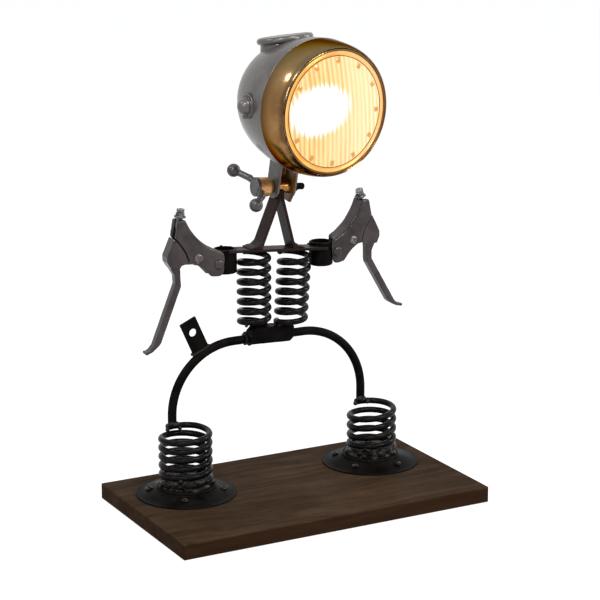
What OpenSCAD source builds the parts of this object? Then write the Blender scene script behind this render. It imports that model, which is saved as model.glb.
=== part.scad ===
// Desk lamp in the shape of a robot, welded up from springs, brake lever perches and a moped headlamp.
// Millimetres. +Z is up, the robot faces -Y, the board's long side lies along X.
// The origin is the centre of the board's underside.

/* [Board] */
// Length of the board, side to side
board_w = 350; // [320:5:400]
// Depth of the board, front to back
board_d = 204; // [190:2:240]
// Thickness of the board
board_t = 17; // [14:1:24]
// Radius of the board's worn edges
board_edge = 2.5; // [1:0.5:4]

/* [Feet] */
// Distance of each foot from the middle of the board
foot_x = 109; // [100:1:118]
// Distance of both feet behind the middle of the board
foot_y = 31; // [20:1:40]
// Radius of the dished foot plate
plate_r = 51.5; // [46:0.5:54]
// Height of the foot plate's raised middle
plate_h = 10; // [8:0.5:12]
// Wire diameter of the foot springs
foot_wire = 6.6; // [5.6:0.2:7]
// Outer diameter of the left foot spring
left_foot_coil = 56; // [50:0.5:58]
// Outer diameter of the right foot spring
right_foot_coil = 53.6; // [50:0.2:58]
// Curls of the left foot spring
left_foot_curls = 5.8; // [5:0.1:6]
// Curls of the right foot spring, which is shorter
right_foot_curls = 4.8; // [4:0.1:5]

/* [Legs and hip] */
// Diameter of the bent leg rod
rod_d = 9.2; // [8:0.2:11]
// Half the distance between the legs
leg_x = 111.5; // [106:0.5:114]
// Middle between the legs, a little to the left of the board's middle
arch_x = -1.9; // [-3:0.1:0]
// Distance of the leg rod's plane behind the middle of the board
leg_y = 54; // [52:0.5:56]
// Radius of the bends, on the rod's centre line
bend_r = 71; // [60:1:75]
// Height of the rod's centre line at the hip
hip_z = 164.5; // [160:0.5:172]
// Lean of the hip block and of the torso springs' curls, right hand side down
hip_lean = 2.3; // [0:0.1:4]

/* [Torso] */
// Distance of the torso's plane behind the middle of the board
torso_y = 41; // [40:0.5:42]
// Wire diameter of the torso springs
torso_wire = 6.4; // [5:0.1:7]
// Outer diameter of the torso springs
torso_coil = 36.4; // [32:0.2:38]
// Middle of the left torso spring, at its foot
torso_left_x = -24.7; // [-27:0.1:-20]
// Middle of the right torso spring, at its foot
torso_right_x = 17.7; // [16:0.1:24]
// Sideways drift of the right torso spring for each millimetre that it rises
torso_drift = 0.066; // [0:0.002:0.08]
// Curls of the left torso spring
torso_left_curls = 7.26; // [6.5:0.02:8]
// Curls of the right torso spring
torso_right_curls = 7.05; // [6.5:0.05:8]
// Height of the shoulder bar's top
shoulder_z = 261.9; // [260:0.1:268]
// Lean of the shoulders and neck towards the robot's right hand side
lean = 4.3; // [0:0.1:5]
// Width of the flat bar that the shoulders and neck are made of
flat_w = 20; // [18:1:22]
// Thickness of the flat bar
flat_t = 3; // [2.5:0.5:4]

/* [Arms] */
// Distance of the lever pivots from the middle
pivot_x = 88.5; // [86:0.5:92]
// Height of the lever pivots
pivot_z = 261.2; // [258:0.1:264]
// Angle by which both arms are turned back about their clamp rings
arm_sweep = 4; // [0:0.5:8]
// Angle by which both arms are turned: the left one down, the right one up
arm_roll = 2; // [0:0.5:4]
// Thickness of the lever perches, front to back
perch_t = 19; // [17:0.5:20]
// Gap between the cheeks of a perch
slot_t = 8.6; // [8:0.2:10]
// Length of the left lever's finger grip
left_grip = 75; // [64:1:78]
// Length of the right lever's finger grip
right_grip = 67; // [64:1:78]
// Slant of the left grip from upright
left_slant = 23.5; // [22:0.5:30]
// Slant of the right grip from upright
right_slant = 29; // [22:0.5:30]

/* [Neck and clamp] */
// Height of the clamp bolt above the shoulder bar
bolt_h = 63.1; // [60:0.1:66]
// Distance of the clamp bolt's middle from the middle of the shoulders
bolt_x = 2.5; // [0:0.5:3]
// Diameter of the clamp bolt
bolt_d = 7; // [6:0.5:8]
// Width of the head bracket over both ears
bracket_w = 21.4; // [20:0.2:24]
// Depth of the head bracket
bracket_d = 25; // [24:1:28]
// Lean of the head bracket towards the front
bracket_lean = 7.5; // [4:0.5:12]

/* [Headlamp] */
// Place of the middle of the lens ring
head_x = 13.2;
// Distance of the lens ring from the middle of the board, towards the back
head_y = -62;
// Height of the middle of the lens ring
head_z = 414.9;
// Turn of the headlamp to the robot's left, seen from the robot
head_yaw = 7.5; // [0:0.5:12]
// Nod of the headlamp, downwards
head_nod = 2.8; // [0:0.1:8]
// Roll of the headlamp about its own axis
head_roll = -6; // [-8:0.5:0]
// Largest radius of the headlamp, at the joint of bezel and bowl
head_r = 67.6; // [64:0.2:70]
// Depth of the bezel
bezel_l = 31; // [28:1:34]
// Length of the headlamp from the lens ring to the back of the bowl
head_l = 113; // [108:1:118]
// Radius of the opening that the lens fills
lens_r = 60; // [58:0.5:60]
// Thickness of the headlamp's sheet steel
sheet_t = 1.6; // [1.2:0.1:2]
// Radius of the collar's flange
collar_r = 29; // [28:0.5:32]

/* [Hidden] */
$fn = 64;
clear = 0.05;           // running clearance of a shaft in its hole, on the radius
gap = 0.4;              // gap between faces that move past each other
torso_ring = torso_coil/2 - torso_wire/2;   // radius of the torso springs' centre line

board_grey = [0.07, 0.055, 0.05];
black = [0.05, 0.05, 0.055];
grey = [0.33, 0.32, 0.32];
nickel = [0.45, 0.38, 0.28];
steel = [0.55, 0.55, 0.57];

// ---------------------------------------------------------------- wound springs
// One tube along a right-handed helix of n curls. The first curl may lie closer than the open ones,
// the last part of the wire may run level, the curls may slant and the whole spring may drift sideways.
// Where the first curl lies close it is level, and the slant comes in over two curls.
curl_rings = 16;        // rings of points to a curl
wire_sides = 6;         // points around the wire

// height reached after t of n curls
function rise(t, n, first, open, level) = first*min(t, 1) + open*max(min(t, n - level) - 1, 0);
// shape is [curls, ring radius, rise of the first curl, rise of the open curls, level end, start, slant, drift]
function coil_point(t, shape) = let (a = shape[5] + 360*t, x = shape[1]*cos(a),
    h = rise(t, shape[0], shape[2], shape[3], shape[4]), steady = shape[2] == shape[3] ? 1 : min(t/2, 1))
    [x + shape[7]*h, shape[1]*sin(a), h + shape[6]*x*steady];
function ring_points(t, wire, shape) = let (a = shape[5] + 360*t, c = coil_point(t, shape))
    [for (k = [0:wire_sides - 1]) let (b = 360*k/wire_sides)
        c + wire/2*[cos(b)*cos(a), cos(b)*sin(a), sin(b)]];

module spring(wire, shape) {
    count = round(shape[0]*curl_rings);
    points = [for (i = [0:count]) each ring_points(i*shape[0]/count, wire, shape)];
    sides = [for (i = [0:count - 1], k = [0:wire_sides - 1], half = [0, 1])
        let (a = i*wire_sides + k, b = i*wire_sides + (k + 1)%wire_sides)
        half == 0 ? [a, b, a + wire_sides] : [b, b + wire_sides, a + wire_sides]];
    first = [for (k = [1:wire_sides - 2]) [0, k + 1, k]];
    base = count*wire_sides;
    last = [for (k = [1:wire_sides - 2]) [base, base + k, base + k + 1]];
    echo(str("least gap of the spring to itself: ", min([for (i = [0:count - curl_rings])
        norm(coil_point((i + curl_rings)*shape[0]/count, shape) - coil_point(i*shape[0]/count, shape)) - wire])));
    translate([0, 0, wire/2]) polyhedron(points, concat(sides, first, last));
}

// ---------------------------------------------------------------- frames
// Shoulders and neck lean: x along the shoulder bar, z up the neck, from the middle of the bar's top
module shoulder_frame() translate([0, torso_y, shoulder_z]) rotate([0, lean, 0]) children();
// x along the clamp bolt from the middle of the bracket
module bolt_frame() shoulder_frame() translate([bolt_x, 0, bolt_h]) children();
// The bracket leans to the front about the clamp bolt
module bracket_frame() bolt_frame() rotate([bracket_lean, 0, 0]) children();
// x to the robot's left, y from the lens ring to the back of the bowl
module head_frame() translate([head_x, head_y, head_z]) rotate([0, 0, head_yaw])
    rotate([head_nod, 0, 0]) rotate([0, head_roll, 0]) children();
// Turns a shape that is drawn about Z to lie about Y, with its base at the front
module about_y() rotate([-90, 0, 0]) children();
module about_x() rotate([0, 90, 0]) children();
// A side: -1 is the left of the picture, 1 is the right
module at_side(side) { if (side < 0) mirror([1, 0, 0]) children(); else children(); }

// ---------------------------------------------------------------- board and feet
module rounded_rect(w, d, r) {
    square([w - 2*r, d], center = true);
    square([w, d - 2*r], center = true);
    for (x = [-1, 1], y = [-1, 1]) translate([x*(w/2 - r), y*(d/2 - r)]) circle(r);
}

screw_r = 38.5;         // radius of the circle that the foot screws lie on
screw_d = 4;            // shank of a foot screw
screw_l = 14;           // length of a foot screw under its head
left_screws = [-118, -28, 62, 154];     // angles of each foot's screws, which were never drilled evenly
right_screws = [-72, -144, 141, 50];

module at_screws(side) translate([side*foot_x, foot_y, board_t])
    for (a = side < 0 ? left_screws : right_screws) rotate([0, 0, a])
        translate([screw_r, 0, 0]) children();

module base_board() color(board_grey) difference() {
    intersection() {
        linear_extrude(board_t) rounded_rect(board_w, board_d, board_edge*1.6);
        translate([0, board_d/2, board_t/2]) rotate([90, 0, 0])
            linear_extrude(board_d) rounded_rect(board_w, board_t, board_edge);
        translate([-board_w/2, 0, board_t/2]) rotate([90, 0, 90])
            linear_extrude(board_w) rounded_rect(board_d, board_t, board_edge);
    }
    for (side = [-1, 1]) at_screws(side) translate([0, 0, -screw_l + 3.5])
        cylinder(h = screw_l, d = screw_d + 2*clear);
}

plate_t = 1.6;          // sheet thickness of a foot plate
hub_r = 31;             // radius of the raised middle
rim_w = 3.5;            // flat rim
cone_h = 6.5;           // height of the cone where it meets the hub

module foot_plate(side) color(black) difference() {
    translate([side*foot_x, foot_y, board_t]) difference() {
        rotate_extrude($fn = 96) polygon([[0, 0], [plate_r, 0], [plate_r, plate_t],
            [plate_r - rim_w, plate_t], [hub_r + 1.5, cone_h], [hub_r, cone_h + 1], [hub_r, plate_h - 1],
            [hub_r - 1, plate_h], [0, plate_h]]);
        translate([0, 0, -1]) rotate_extrude($fn = 96) polygon([[0, 0], [plate_r - rim_w, 0],
            [plate_r - rim_w, 1], [hub_r + 1.5 - plate_t, cone_h + 1 - plate_t], [hub_r - plate_t, cone_h],
            [hub_r - plate_t, plate_h + 1 - plate_t], [0, plate_h + 1 - plate_t]]);
    }
    at_screws(side) cylinder(h = 20, d = screw_d + 0.6);
}

module foot_screws(side) color(steel) at_screws(side) translate([0, 0, 5.6]) {
    intersection() {
        translate([0, 0, -3]) sphere(d = 10, $fn = 32);
        translate([0, 0, -0.8]) cylinder(h = 5, d = 7.6);
    }
    translate([0, 0, -screw_l - 1]) cylinder(h = screw_l + 1, d = screw_d);
}

foot_top = board_t + plate_h;                   // where the foot springs stand
left_turn = 112;        // angles at which the springs' wire ends, just past the leg rod
right_turn = 106;
// The springs as [curls, ring radius, first rise, open rise, level end, start, slant, drift]
left_foot = [left_foot_curls, (left_foot_coil - foot_wire)/2, 9.3, 9.3, 0.2,
    left_turn - 360*left_foot_curls, 0, 0];
right_foot = [right_foot_curls, (right_foot_coil - foot_wire)/2, 8.2, 10.26, 0,
    right_turn - 360*right_foot_curls, 0.06, 0];
left_foot_x = -109.6;   // middles of the foot springs, a little off their plates' middles
right_foot_x = 110.2;

module foot_spring(side) color(black) translate([side < 0 ? left_foot_x : right_foot_x, foot_y, foot_top])
    spring(foot_wire, side < 0 ? left_foot : right_foot);

// ---------------------------------------------------------------- leg arch, tab and hip
// lower end of a leg, welded 2.5 mm deep into the top curl
function leg_foot(shape) = foot_top + foot_wire - 2.5 + rise(shape[0], shape[0], shape[2], shape[3], shape[4]);
bend_z = hip_z - bend_r;
bend_x = leg_x - bend_r;

module leg_arch() color(black) translate([arch_x, leg_y, 0]) {
    for (side = [-1, 1]) {
        foot = leg_foot(side < 0 ? left_foot : right_foot);
        translate([side*leg_x, 0, foot]) cylinder(h = bend_z - foot, d = rod_d);
        at_side(side) translate([bend_x, 0, bend_z]) rotate([90, 0, 0])
            rotate_extrude(angle = 90, $fn = 96) translate([bend_r, 0]) circle(d = rod_d, $fn = 32);
    }
    translate([-bend_x, 0, hip_z]) about_x() cylinder(h = 2*bend_x, d = rod_d);
}

tab_lean = 24;          // lean of the tab from upright
tab_w = 19;
tab_l = 48;             // length of the tab before it is cut to the rod's curve
tab_over = 14.5;        // from the hole to the tab's upper end
tab_hole_r = 4.2;
tab_hole = [-88.75, 179.4];     // x and z of the hole
tab_t = 3;
module leg_tab() color(black) difference() {
    translate([tab_hole[0], leg_y, tab_hole[1]]) rotate([0, -tab_lean, 0]) rotate([90, 0, 0])
        linear_extrude(tab_t, center = true) difference() {
            translate([-tab_w/2, tab_over - tab_l]) square([tab_w, tab_l]);
            circle(tab_hole_r);
        }
    translate([arch_x - bend_x, leg_y, bend_z]) rotate([90, 0, 0])
        cylinder(h = 30, r = bend_r + rod_d/2 - 0.3, center = true, $fn = 128);
}

hip_half = 24.2;        // half the length of the hip block
hip_h = 17.5;
hip_d = 16;
hip_cut = 4.6;          // cut corners: the upper left and the lower right one
hip_top = hip_z + 13.5;
hip_front = torso_y - 1;
module hip_block() color(black) difference() {
    translate([arch_x, hip_front + hip_d, hip_top]) rotate([0, hip_lean, 0]) rotate([90, 0, 0])
        linear_extrude(hip_d) polygon([[-hip_half + hip_cut, 0], [hip_half - 1.5, 0], [hip_half, -1.5],
            [hip_half, hip_cut - hip_h], [hip_half - hip_cut, -hip_h],
            [-hip_half - 2.5, -hip_h], [-hip_half - 2, -hip_h/2], [-hip_half, -hip_cut]]);
    translate([arch_x - hip_half*2, leg_y, hip_z]) about_x() cylinder(h = 4*hip_half, d = rod_d);
}

// ---------------------------------------------------------------- torso
torso_gap = 0.1;        // left for the weld at each end of a torso spring
// underside of the shoulder bar and top of the hip block at x
function bar_under(x) = shoulder_z - flat_t/cos(lean) - x*tan(lean);
function hip_over(x) = hip_top - (x - arch_x)*tan(hip_lean);
// rise of one curl, so that the wire's end comes to the bar: the end lies end_x from the spring's foot
function torso_pitch(x, end_x, n) = (bar_under(x + end_x) - hip_over(x) - torso_wire - 2*torso_gap
    + end_x*tan(hip_lean))/n;
left_start = 12;        // angles at which the torso springs start
right_start = 135;
left_pitch = torso_pitch(torso_left_x, -5, torso_left_curls);
right_pitch = torso_pitch(torso_right_x, -8, torso_right_curls);
left_torso = [torso_left_curls, torso_ring, left_pitch, left_pitch, 0, left_start, -tan(hip_lean), 0];
right_torso = [torso_right_curls, torso_ring, right_pitch, right_pitch, 0, right_start, -tan(hip_lean),
    torso_drift];

module torso_spring(side) color(black) {
    x = side < 0 ? torso_left_x : torso_right_x;
    translate([x, torso_y, hip_over(x) + torso_gap]) spring(torso_wire, side < 0 ? left_torso : right_torso);
}

shoulder_half = 57;     // half the length of the shoulder bar
ring_x = 55.8;          // middle of the clamp rings
ring_y = torso_y + 4;
ring_od = 25;
ring_id = 19;
ring_low = 237;         // lower end of the right clamp ring; the left one sits higher
left_ring_up = 4;
ring_h = 25;

module shoulder_bar() color(black) difference() {
    shoulder_frame() translate([-shoulder_half, -flat_w/2, -flat_t]) cube([2*shoulder_half, flat_w, flat_t]);
    for (side = [-1, 1]) translate([side*ring_x, ring_y, ring_low - 5]) cylinder(h = ring_h + 20, d = ring_od);
}

rivet = [-21, 0, -9.2]; // place of the rivet from the lever's pivot
rivet_d = 6;
lug_t = 8;
lug_r = 7;
module shoulder_ring(side) color(black) difference() {
    union() {
        arm_frame(side) upright(lug_t) {
            translate([rivet[0], rivet[2]]) circle(lug_r);
            translate([ring_x - pivot_x, rivet[2] - lug_r]) square([rivet[0] - ring_x + pivot_x, 2*lug_r]);
        }
        at_side(side) translate([ring_x, ring_y, ring_low + (side < 0 ? left_ring_up : 0)]) rotate_extrude()
            polygon([[ring_id/2, 0], [ring_od/2 - 1, 0], [ring_od/2, 1], [ring_od/2, ring_h - 1],
                [ring_od/2 - 1, ring_h], [ring_id/2, ring_h]]);
    }
    at_side(side) translate([ring_x, ring_y, ring_low - 5]) cylinder(h = ring_h + 20, d = ring_id);
    arm_frame(side) translate(rivet) rotate([90, 0, 0])
        cylinder(h = 40, d = rivet_d + 2*clear, center = true);
}

// ---------------------------------------------------------------- lever perches
// Drawn as the right arm, from the lever's pivot: x outwards, z up
back_c = [-44.5, 61];     // centre of the long hollow of the perch's back
back_r = 60.3;
under_c = [25.5, -45.5];    // centre of the hollow under the pivot
under_r = 44.9;
seam_c = [63.8, -15.6];     // centre of the seam between perch and lever head
seam_r = 55;
back_wall = 5;
slit_t = 4.4;           // slit for the cable, along the perch's outer side
back_round = 6;             // rounding along the perch's back
seat_z = 41;                // top face, under the adjuster
seat_t = 8;

// the arm turns about its clamp ring's axis, and its middle plane lies in front of that axis
module arm_frame(side) at_side(side) translate([ring_x, ring_y, 0]) rotate([0, 0, arm_sweep])
    translate([pivot_x - ring_x, torso_y - ring_y, pivot_z]) rotate([0, -side*arm_roll, 0]) children();
// Stands a drawing in x and z upright, thick along y about the torso's plane
module upright(t) rotate([90, 0, 0]) linear_extrude(t, center = true) children();

module perch_outline() difference() {
    polygon([[-27, -15], [-25.5, -19.5], [-22, -22], [-10, -20.5], [14, -6], [24.3, 22.5], [20.8, seat_z],
        [9, seat_z], [-27.5, 1.2], [-28, -2]]);
    translate(back_c) circle(back_r, $fn = 128);
    translate(under_c) circle(under_r, $fn = 96);
    translate(seam_c) circle(seam_r, $fn = 96);
}

module perch_back() translate([back_c[0], 0, back_c[1]]) rotate([90, 0, 0])
    rotate([0, 0, -80]) rotate_extrude(angle = 66, $fn = 128) {
        translate([back_r + back_round, 0]) square([2*back_round, perch_t], center = true);
        translate([back_r + back_round, 0]) square([2*back_round, perch_t - 2*back_round], center = true);
        for (y = [-1, 1]) translate([back_r + back_round, y*(perch_t/2 - back_round)])
            circle(back_round, $fn = 32);
    }

module lever_perch(side) color(grey) difference() {
    arm_frame(side) perch_body();
    at_side(side) translate([ring_x, ring_y, ring_low - 10]) cylinder(h = ring_h + 20, d = ring_od + 1);
}

module perch_body() difference() {
    intersection() {
        upright(perch_t) perch_outline();
        union() {
            perch_back();
            upright(perch_t) difference() {
                translate([-60, -60]) square(140);
                translate(back_c) circle(back_r + back_round, $fn = 128);
            }
        }
    }
    upright(slot_t) difference() {
        translate([-50, -50]) square([100, 50 + seat_z - seat_t]);
        translate(back_c) circle(back_r + back_wall, $fn = 128);
    }
    rotate([90, 0, 0]) cylinder(h = 40, d = pivot_d + 2*clear, center = true);
    translate([0, -perch_t/2 + 1.2, 0]) rotate([90, 0, 0]) cylinder(h = 5, d = pivot_head + 1);
    translate(rivet) rotate([90, 0, 0]) cylinder(h = 40, d = rivet_d + 2*clear, center = true);
    upright(slit_t) difference() {
        translate([adjuster_at[0], 0]) square([30, 60]);
        translate(back_c) circle(back_r + back_wall, $fn = 128);
    }
    adjuster_frame() translate([0, 0, -20]) cylinder(h = 40, d = adjuster_d + 2*clear);
}

module perch_pin(side) color(steel) arm_frame(side) translate(rivet) {
    translate([0, 1, 0]) rotate([90, 0, 0]) cylinder(h = perch_t + 2, d = rivet_d, center = true);
    rotate([90, 0, 0]) translate([0, 0, perch_t/2]) intersection() {
        translate([0, 0, -6]) sphere(d = 16, $fn = 48);
        cylinder(h = 5, d = 10.4);
    }
}

pivot_d = 6;
pivot_head = 9;
module lever_pivot(side) color(steel) arm_frame(side) {
    translate([0, 1, 0]) rotate([90, 0, 0]) cylinder(h = perch_t, d = pivot_d, center = true);
    translate([0, -perch_t/2 + 1.2, 0]) rotate([90, 0, 0]) difference() {
        cylinder(h = 1.8, d = pivot_head);
        for (a = [0, 90]) rotate([0, 0, a]) translate([-3, -0.5, 0.7]) cube([6, 1, 2]);
    }
    translate([0, perch_t/2, 0]) rotate([-90, 30, 0]) cylinder(h = 3, d = 10.5, $fn = 6);
}

// ---------------------------------------------------------------- lever blades
// Hangs from the pivot: x outwards, z up, at the middle of the two arms' hang
tongue_t = 7.6;         // part of the lever between the cheeks
head_t = 16;            // full width of the lever's head
left_grip_t = 9.6;      // widths of the finger grips, front to back
right_grip_t = 8.8;
seam_gap = 0.6;

module blade_head_outline() difference() {
    polygon([[25, 23], [33.6, 5], [33.6, -1], [25.6, -16], [knee[0], knee[1]], [neck_in_x, knee[1]],
        [neck_in_x, -6], [11, -4], [0, 10]]);
    difference() {
        translate([-20, -40]) square([46, 80]);
        translate(seam_c) circle(seam_r - seam_gap, $fn = 96);
    }
}
module blade_tongue_outline() {
    circle(8.5);
    difference() {
        polygon([[-2, -7.5], [14, -6], [20, -4], [24, 20], [2, 8]]);
        translate(back_c) circle(back_r + back_wall + 1, $fn = 128);
        translate([adjuster_at[0] - 6, 22]) square(30);
    }
}
knee = [25.3, -24.5];       // outer corner where the grip bends away from the lever's neck
neck_in_x = 19.3;           // inner side of the lever's neck
grip_w = 6.8;               // thickness of the grip across the hand
tip_out = 4.3;              // the tip turns outwards by this much
// the grip runs down from the knee, slanting outwards, and turns out at its tip
function slanted(p, slant) = knee + [p[0]*cos(slant) - p[1]*sin(slant), p[0]*sin(slant) + p[1]*cos(slant)];
module blade_grip_outline(length, slant) {
    grip = [[0, 0], [0, 9 - length], [1.6, 4 - length], [tip_out, -length + 0.6], [tip_out - 0.8, -length - 2],
        [-1, 2 - length], [-grip_w + 1.2, 10 - length], [-grip_w, 14 - length], [-grip_w, 0]];
    polygon(concat([[neck_in_x, knee[1] + 1], knee + [0, 1]], [for (p = grip) slanted(p, slant)]));
    translate(slanted([tip_out, -length - 0.7], slant)) circle(1.7, $fn = 32);
}

module lever_blade(side) color(grey) arm_frame(side) difference() {
    grip_t = side < 0 ? left_grip_t : right_grip_t;
    union() {
        upright(head_t) difference() {
            blade_head_outline();
            translate([0, -60]) square([60, 52]);
        }
        upright(grip_t) blade_head_outline();
        upright(tongue_t) blade_tongue_outline();
        upright(grip_t)
            blade_grip_outline(side < 0 ? left_grip : right_grip, side < 0 ? left_slant : right_slant);
    }
    rotate([90, 0, 0]) cylinder(h = 40, d = pivot_d + 2*clear, center = true);
}

// ---------------------------------------------------------------- cable adjusters
adjuster_d = 6;
adjuster_lean = -9;
adjuster_at = [15.6, seat_z];
module adjuster_frame() translate([adjuster_at[0], 0, adjuster_at[1]]) rotate([0, adjuster_lean, 0]) children();

module adjuster(side) color(steel) arm_frame(side) adjuster_frame() difference() {
    union() {
        translate([0, 0, -7]) cylinder(h = 14.5, d = adjuster_d);
        translate([0, 0, 7]) cylinder(h = 3.6, d = 8);
    }
    translate([0, 0, -10]) cylinder(h = 40, d = 2.4);
}

module adjuster_nut(side) color(steel) arm_frame(side) adjuster_frame() translate([0, 0, gap + 0.8])
    difference() {
        union() {
            cylinder(h = 2.4, d = 11);
            translate([0, 0, 2.4]) cylinder(h = 3, d = 10, $fn = 6);
        }
        translate([0, 0, -1]) cylinder(h = 12, d = adjuster_d + 2*clear);
    }

// ---------------------------------------------------------------- neck
neck_in = 17.8;         // half the spread of the neck bars' inner faces at the shoulder bar
neck_mid = -1.4;        // middle between the neck bars
join_h = 53.1;          // height where the neck bars meet
tube_d = 14;
foot_l = 9;             // foot of a neck bar, bent out and welded down
ear_t = 2.4;
ear_in = bracket_w/2 - ear_t;
neck_slope = atan2(neck_in, join_h);

module neck_outline(side) translate([neck_mid, 0]) mirror([side < 0 ? 1 : 0, 0]) {
    across = flat_t/cos(neck_slope);
    polygon([[neck_in, 0], [neck_in + across, 0], [across, join_h], [across, bolt_h], [0, bolt_h],
        [0, join_h]]);
    translate([neck_in, 0]) polygon([[across - 0.5, 0], [foot_l + 4, 0], [foot_l + 4, 1],
        [foot_l, flat_t - 0.4], [across + 2.2, flat_t], [across - tan(neck_slope)*7, 7], [0, 4]]);
}

module neck_bar(side) color(black) shoulder_frame() difference() {
    upright(flat_w) neck_outline(side);
    translate([bolt_x, 0, bolt_h]) about_x() cylinder(h = 60, d = tube_d, center = true);
    translate([bolt_x, -flat_w, bolt_h - 2]) translate([-30, 0, 0]) cube([60, 2*flat_w, 40]);
}

tube_l = 2*ear_in - 2*gap;
module neck_tube() color(black) bolt_frame() about_x() difference() {
    cylinder(h = tube_l, d = tube_d, center = true);
    cylinder(h = tube_l + 2, d = bolt_d + 2*clear, center = true);
}

// ---------------------------------------------------------------- head bracket and clamp
ear_front = 13.5;       // front edge of the ears, in front of the bolt
ear_back = bracket_d - ear_front;
ear_top = 1;            // centre of the left ear's round end, above the bolt
long_ear = 15.5;        // lower end of the right ear, below the bolt
web_low = 2;            // lower edge of the web, above the bolt
bracket_top = 60;
web_slot = [4.5, 12];   // width and height of the slot in the web

module ear_outline(side) {
    translate([-ear_front, ear_top]) square([bracket_d, bracket_top - ear_top]);
    translate([(ear_back - ear_front)/2, ear_top]) circle(bracket_d/2);
    if (side > 0) polygon([[-ear_front, ear_top], [-6.5, 1 - long_ear], [-5, -long_ear],
        [ear_back - 4, -long_ear], [ear_back - 1, 2 - long_ear], [ear_back, ear_top]]);
}

module head_bracket() color(grey) difference() {
    bracket_frame() difference() {
        union() {
            for (side = [-1, 1]) translate([side*(bracket_w - ear_t)/2, 0, 0])
                rotate([90, 0, 90]) linear_extrude(ear_t, center = true) ear_outline(side);
            translate([-bracket_w/2, ear_back - ear_t, web_low])
                cube([bracket_w, ear_t, bracket_top - web_low]);
        }
        about_x() cylinder(h = 60, d = bolt_d + 2*clear, center = true);
        translate([0, 20, web_low + 4 + web_slot[1]/2]) rotate([90, 0, 0]) {
            for (z = [-1, 1]) translate([0, z*(web_slot[1] - web_slot[0])/2, 0])
                cylinder(h = 20, d = web_slot[0]);
            translate([-web_slot[0]/2, -(web_slot[1] - web_slot[0])/2, 0])
                cube([web_slot[0], web_slot[1] - web_slot[0], 20]);
        }
    }
    head_frame() about_y() rotate_extrude($fn = 128) head_section(0);
}

nut_t = 5.6;
module clamp_nut() color(black) bolt_frame() translate([bracket_w/2, 0, 0]) about_x() difference() {
    cylinder(h = nut_t, d = 13, $fn = 6);
    translate([0, 0, -1]) cylinder(h = 10, d = bolt_d + 2*clear);
}

bolt_end = 26;          // free end of the bolt
hub_in = bracket_w/2 + gap;
hub_out = 31.5;
module clamp_bolt() color(black) bolt_frame() translate([-hub_out + 4, 0, 0]) about_x() union() {
    cylinder(h = bolt_end + hub_out - 5, d = bolt_d);
    translate([0, 0, bolt_end + hub_out - 5]) cylinder(h = 1, d1 = bolt_d, d2 = bolt_d - 2);
}

handle_d = 20;
hub_l = 17.2;           // length of the hub's thick part
neck_d = 13;            // narrow collar between hub and bracket
ball_d = 14;
arm_d = 7;
handle_turn = [27.3, 25.3];     // arms turned from level: front one down, back one up
ball_out = 41.5;        // balls from the middle of the bracket, along the bolt
ball_r = 30;
module round_bar(a, b, d) {
    v = b - a;
    translate(a) rotate([0, acos(v[2]/norm(v)), atan2(v[1], v[0])]) cylinder(h = norm(v), d = d, $fn = 32);
}
module clamp_handle() color(grey) bolt_frame() difference() {
    union() {
        translate([-hub_out, 0, 0]) about_x() rotate_extrude() polygon([[0, 0], [handle_d/2 - 1, 0],
            [handle_d/2, 1], [handle_d/2, hub_l - 1.5], [handle_d/2 - 1.5, hub_l], [neck_d/2, hub_l],
            [neck_d/2, hub_out - hub_in], [0, hub_out - hub_in]]);
        for (side = [-1, 1]) rotate([side < 0 ? handle_turn[0] : handle_turn[1], 0, 0]) {
            hub = [-26, side*5, 0];
            knee = [-29, side*16, 0];
            ball = [-ball_out, side*ball_r, 0];
            round_bar(hub, knee, arm_d);
            translate(knee) sphere(d = arm_d + 0.6, $fn = 32);
            round_bar(knee, ball, arm_d);
            translate(ball) sphere(d = ball_d, $fn = 48);
        }
    }
    translate([-hub_out + 4, 0, 0]) about_x() cylinder(h = 60, d = bolt_d);
}

// ---------------------------------------------------------------- headlamp
// Sections are drawn as radius against distance behind the lens ring
bowl_steps = 14;
rim_r = 61.5;           // radius of the bezel's front
bezel_steps = 6;
function bezel_radius(y) = rim_r + (head_r - rim_r)*sqrt(1 - pow(1 - y/bezel_l, 2));
function bowl_radius(t) = head_r*pow(1 - pow(t, 1.61), 0.25);
// t runs slower near the back, where the bowl turns in
function bowl_step(k) = 1 - pow(1 - k/bowl_steps, 2.2);

// whole outline of the headlamp, thinner by cut all over
module head_section(cut) polygon(concat([[0, cut], [rim_r - cut, cut]],
    [for (k = [1:bezel_steps]) let (y = bezel_l*k/bezel_steps) [bezel_radius(y) - cut, max(y, cut)]],
    [for (k = [1:bowl_steps - 1]) let (t = bowl_step(k))
        [bowl_radius(t) - cut, bezel_l + t*(head_l - bezel_l - cut)]], [[0, head_l - cut]]));

collar_y = 79;          // place of the collar's flange on the bowl
collar_z = 65;
collar_lean = 9;
neck_r = 26.5;
collar_roll = 3.3;      // the collar stands nearer upright than the bowl
flange_h = 6.4;
cap_drop = 3;
module collar_frame() translate([0, collar_y, collar_z]) rotate([-collar_lean, collar_roll, 0]) children();

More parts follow.
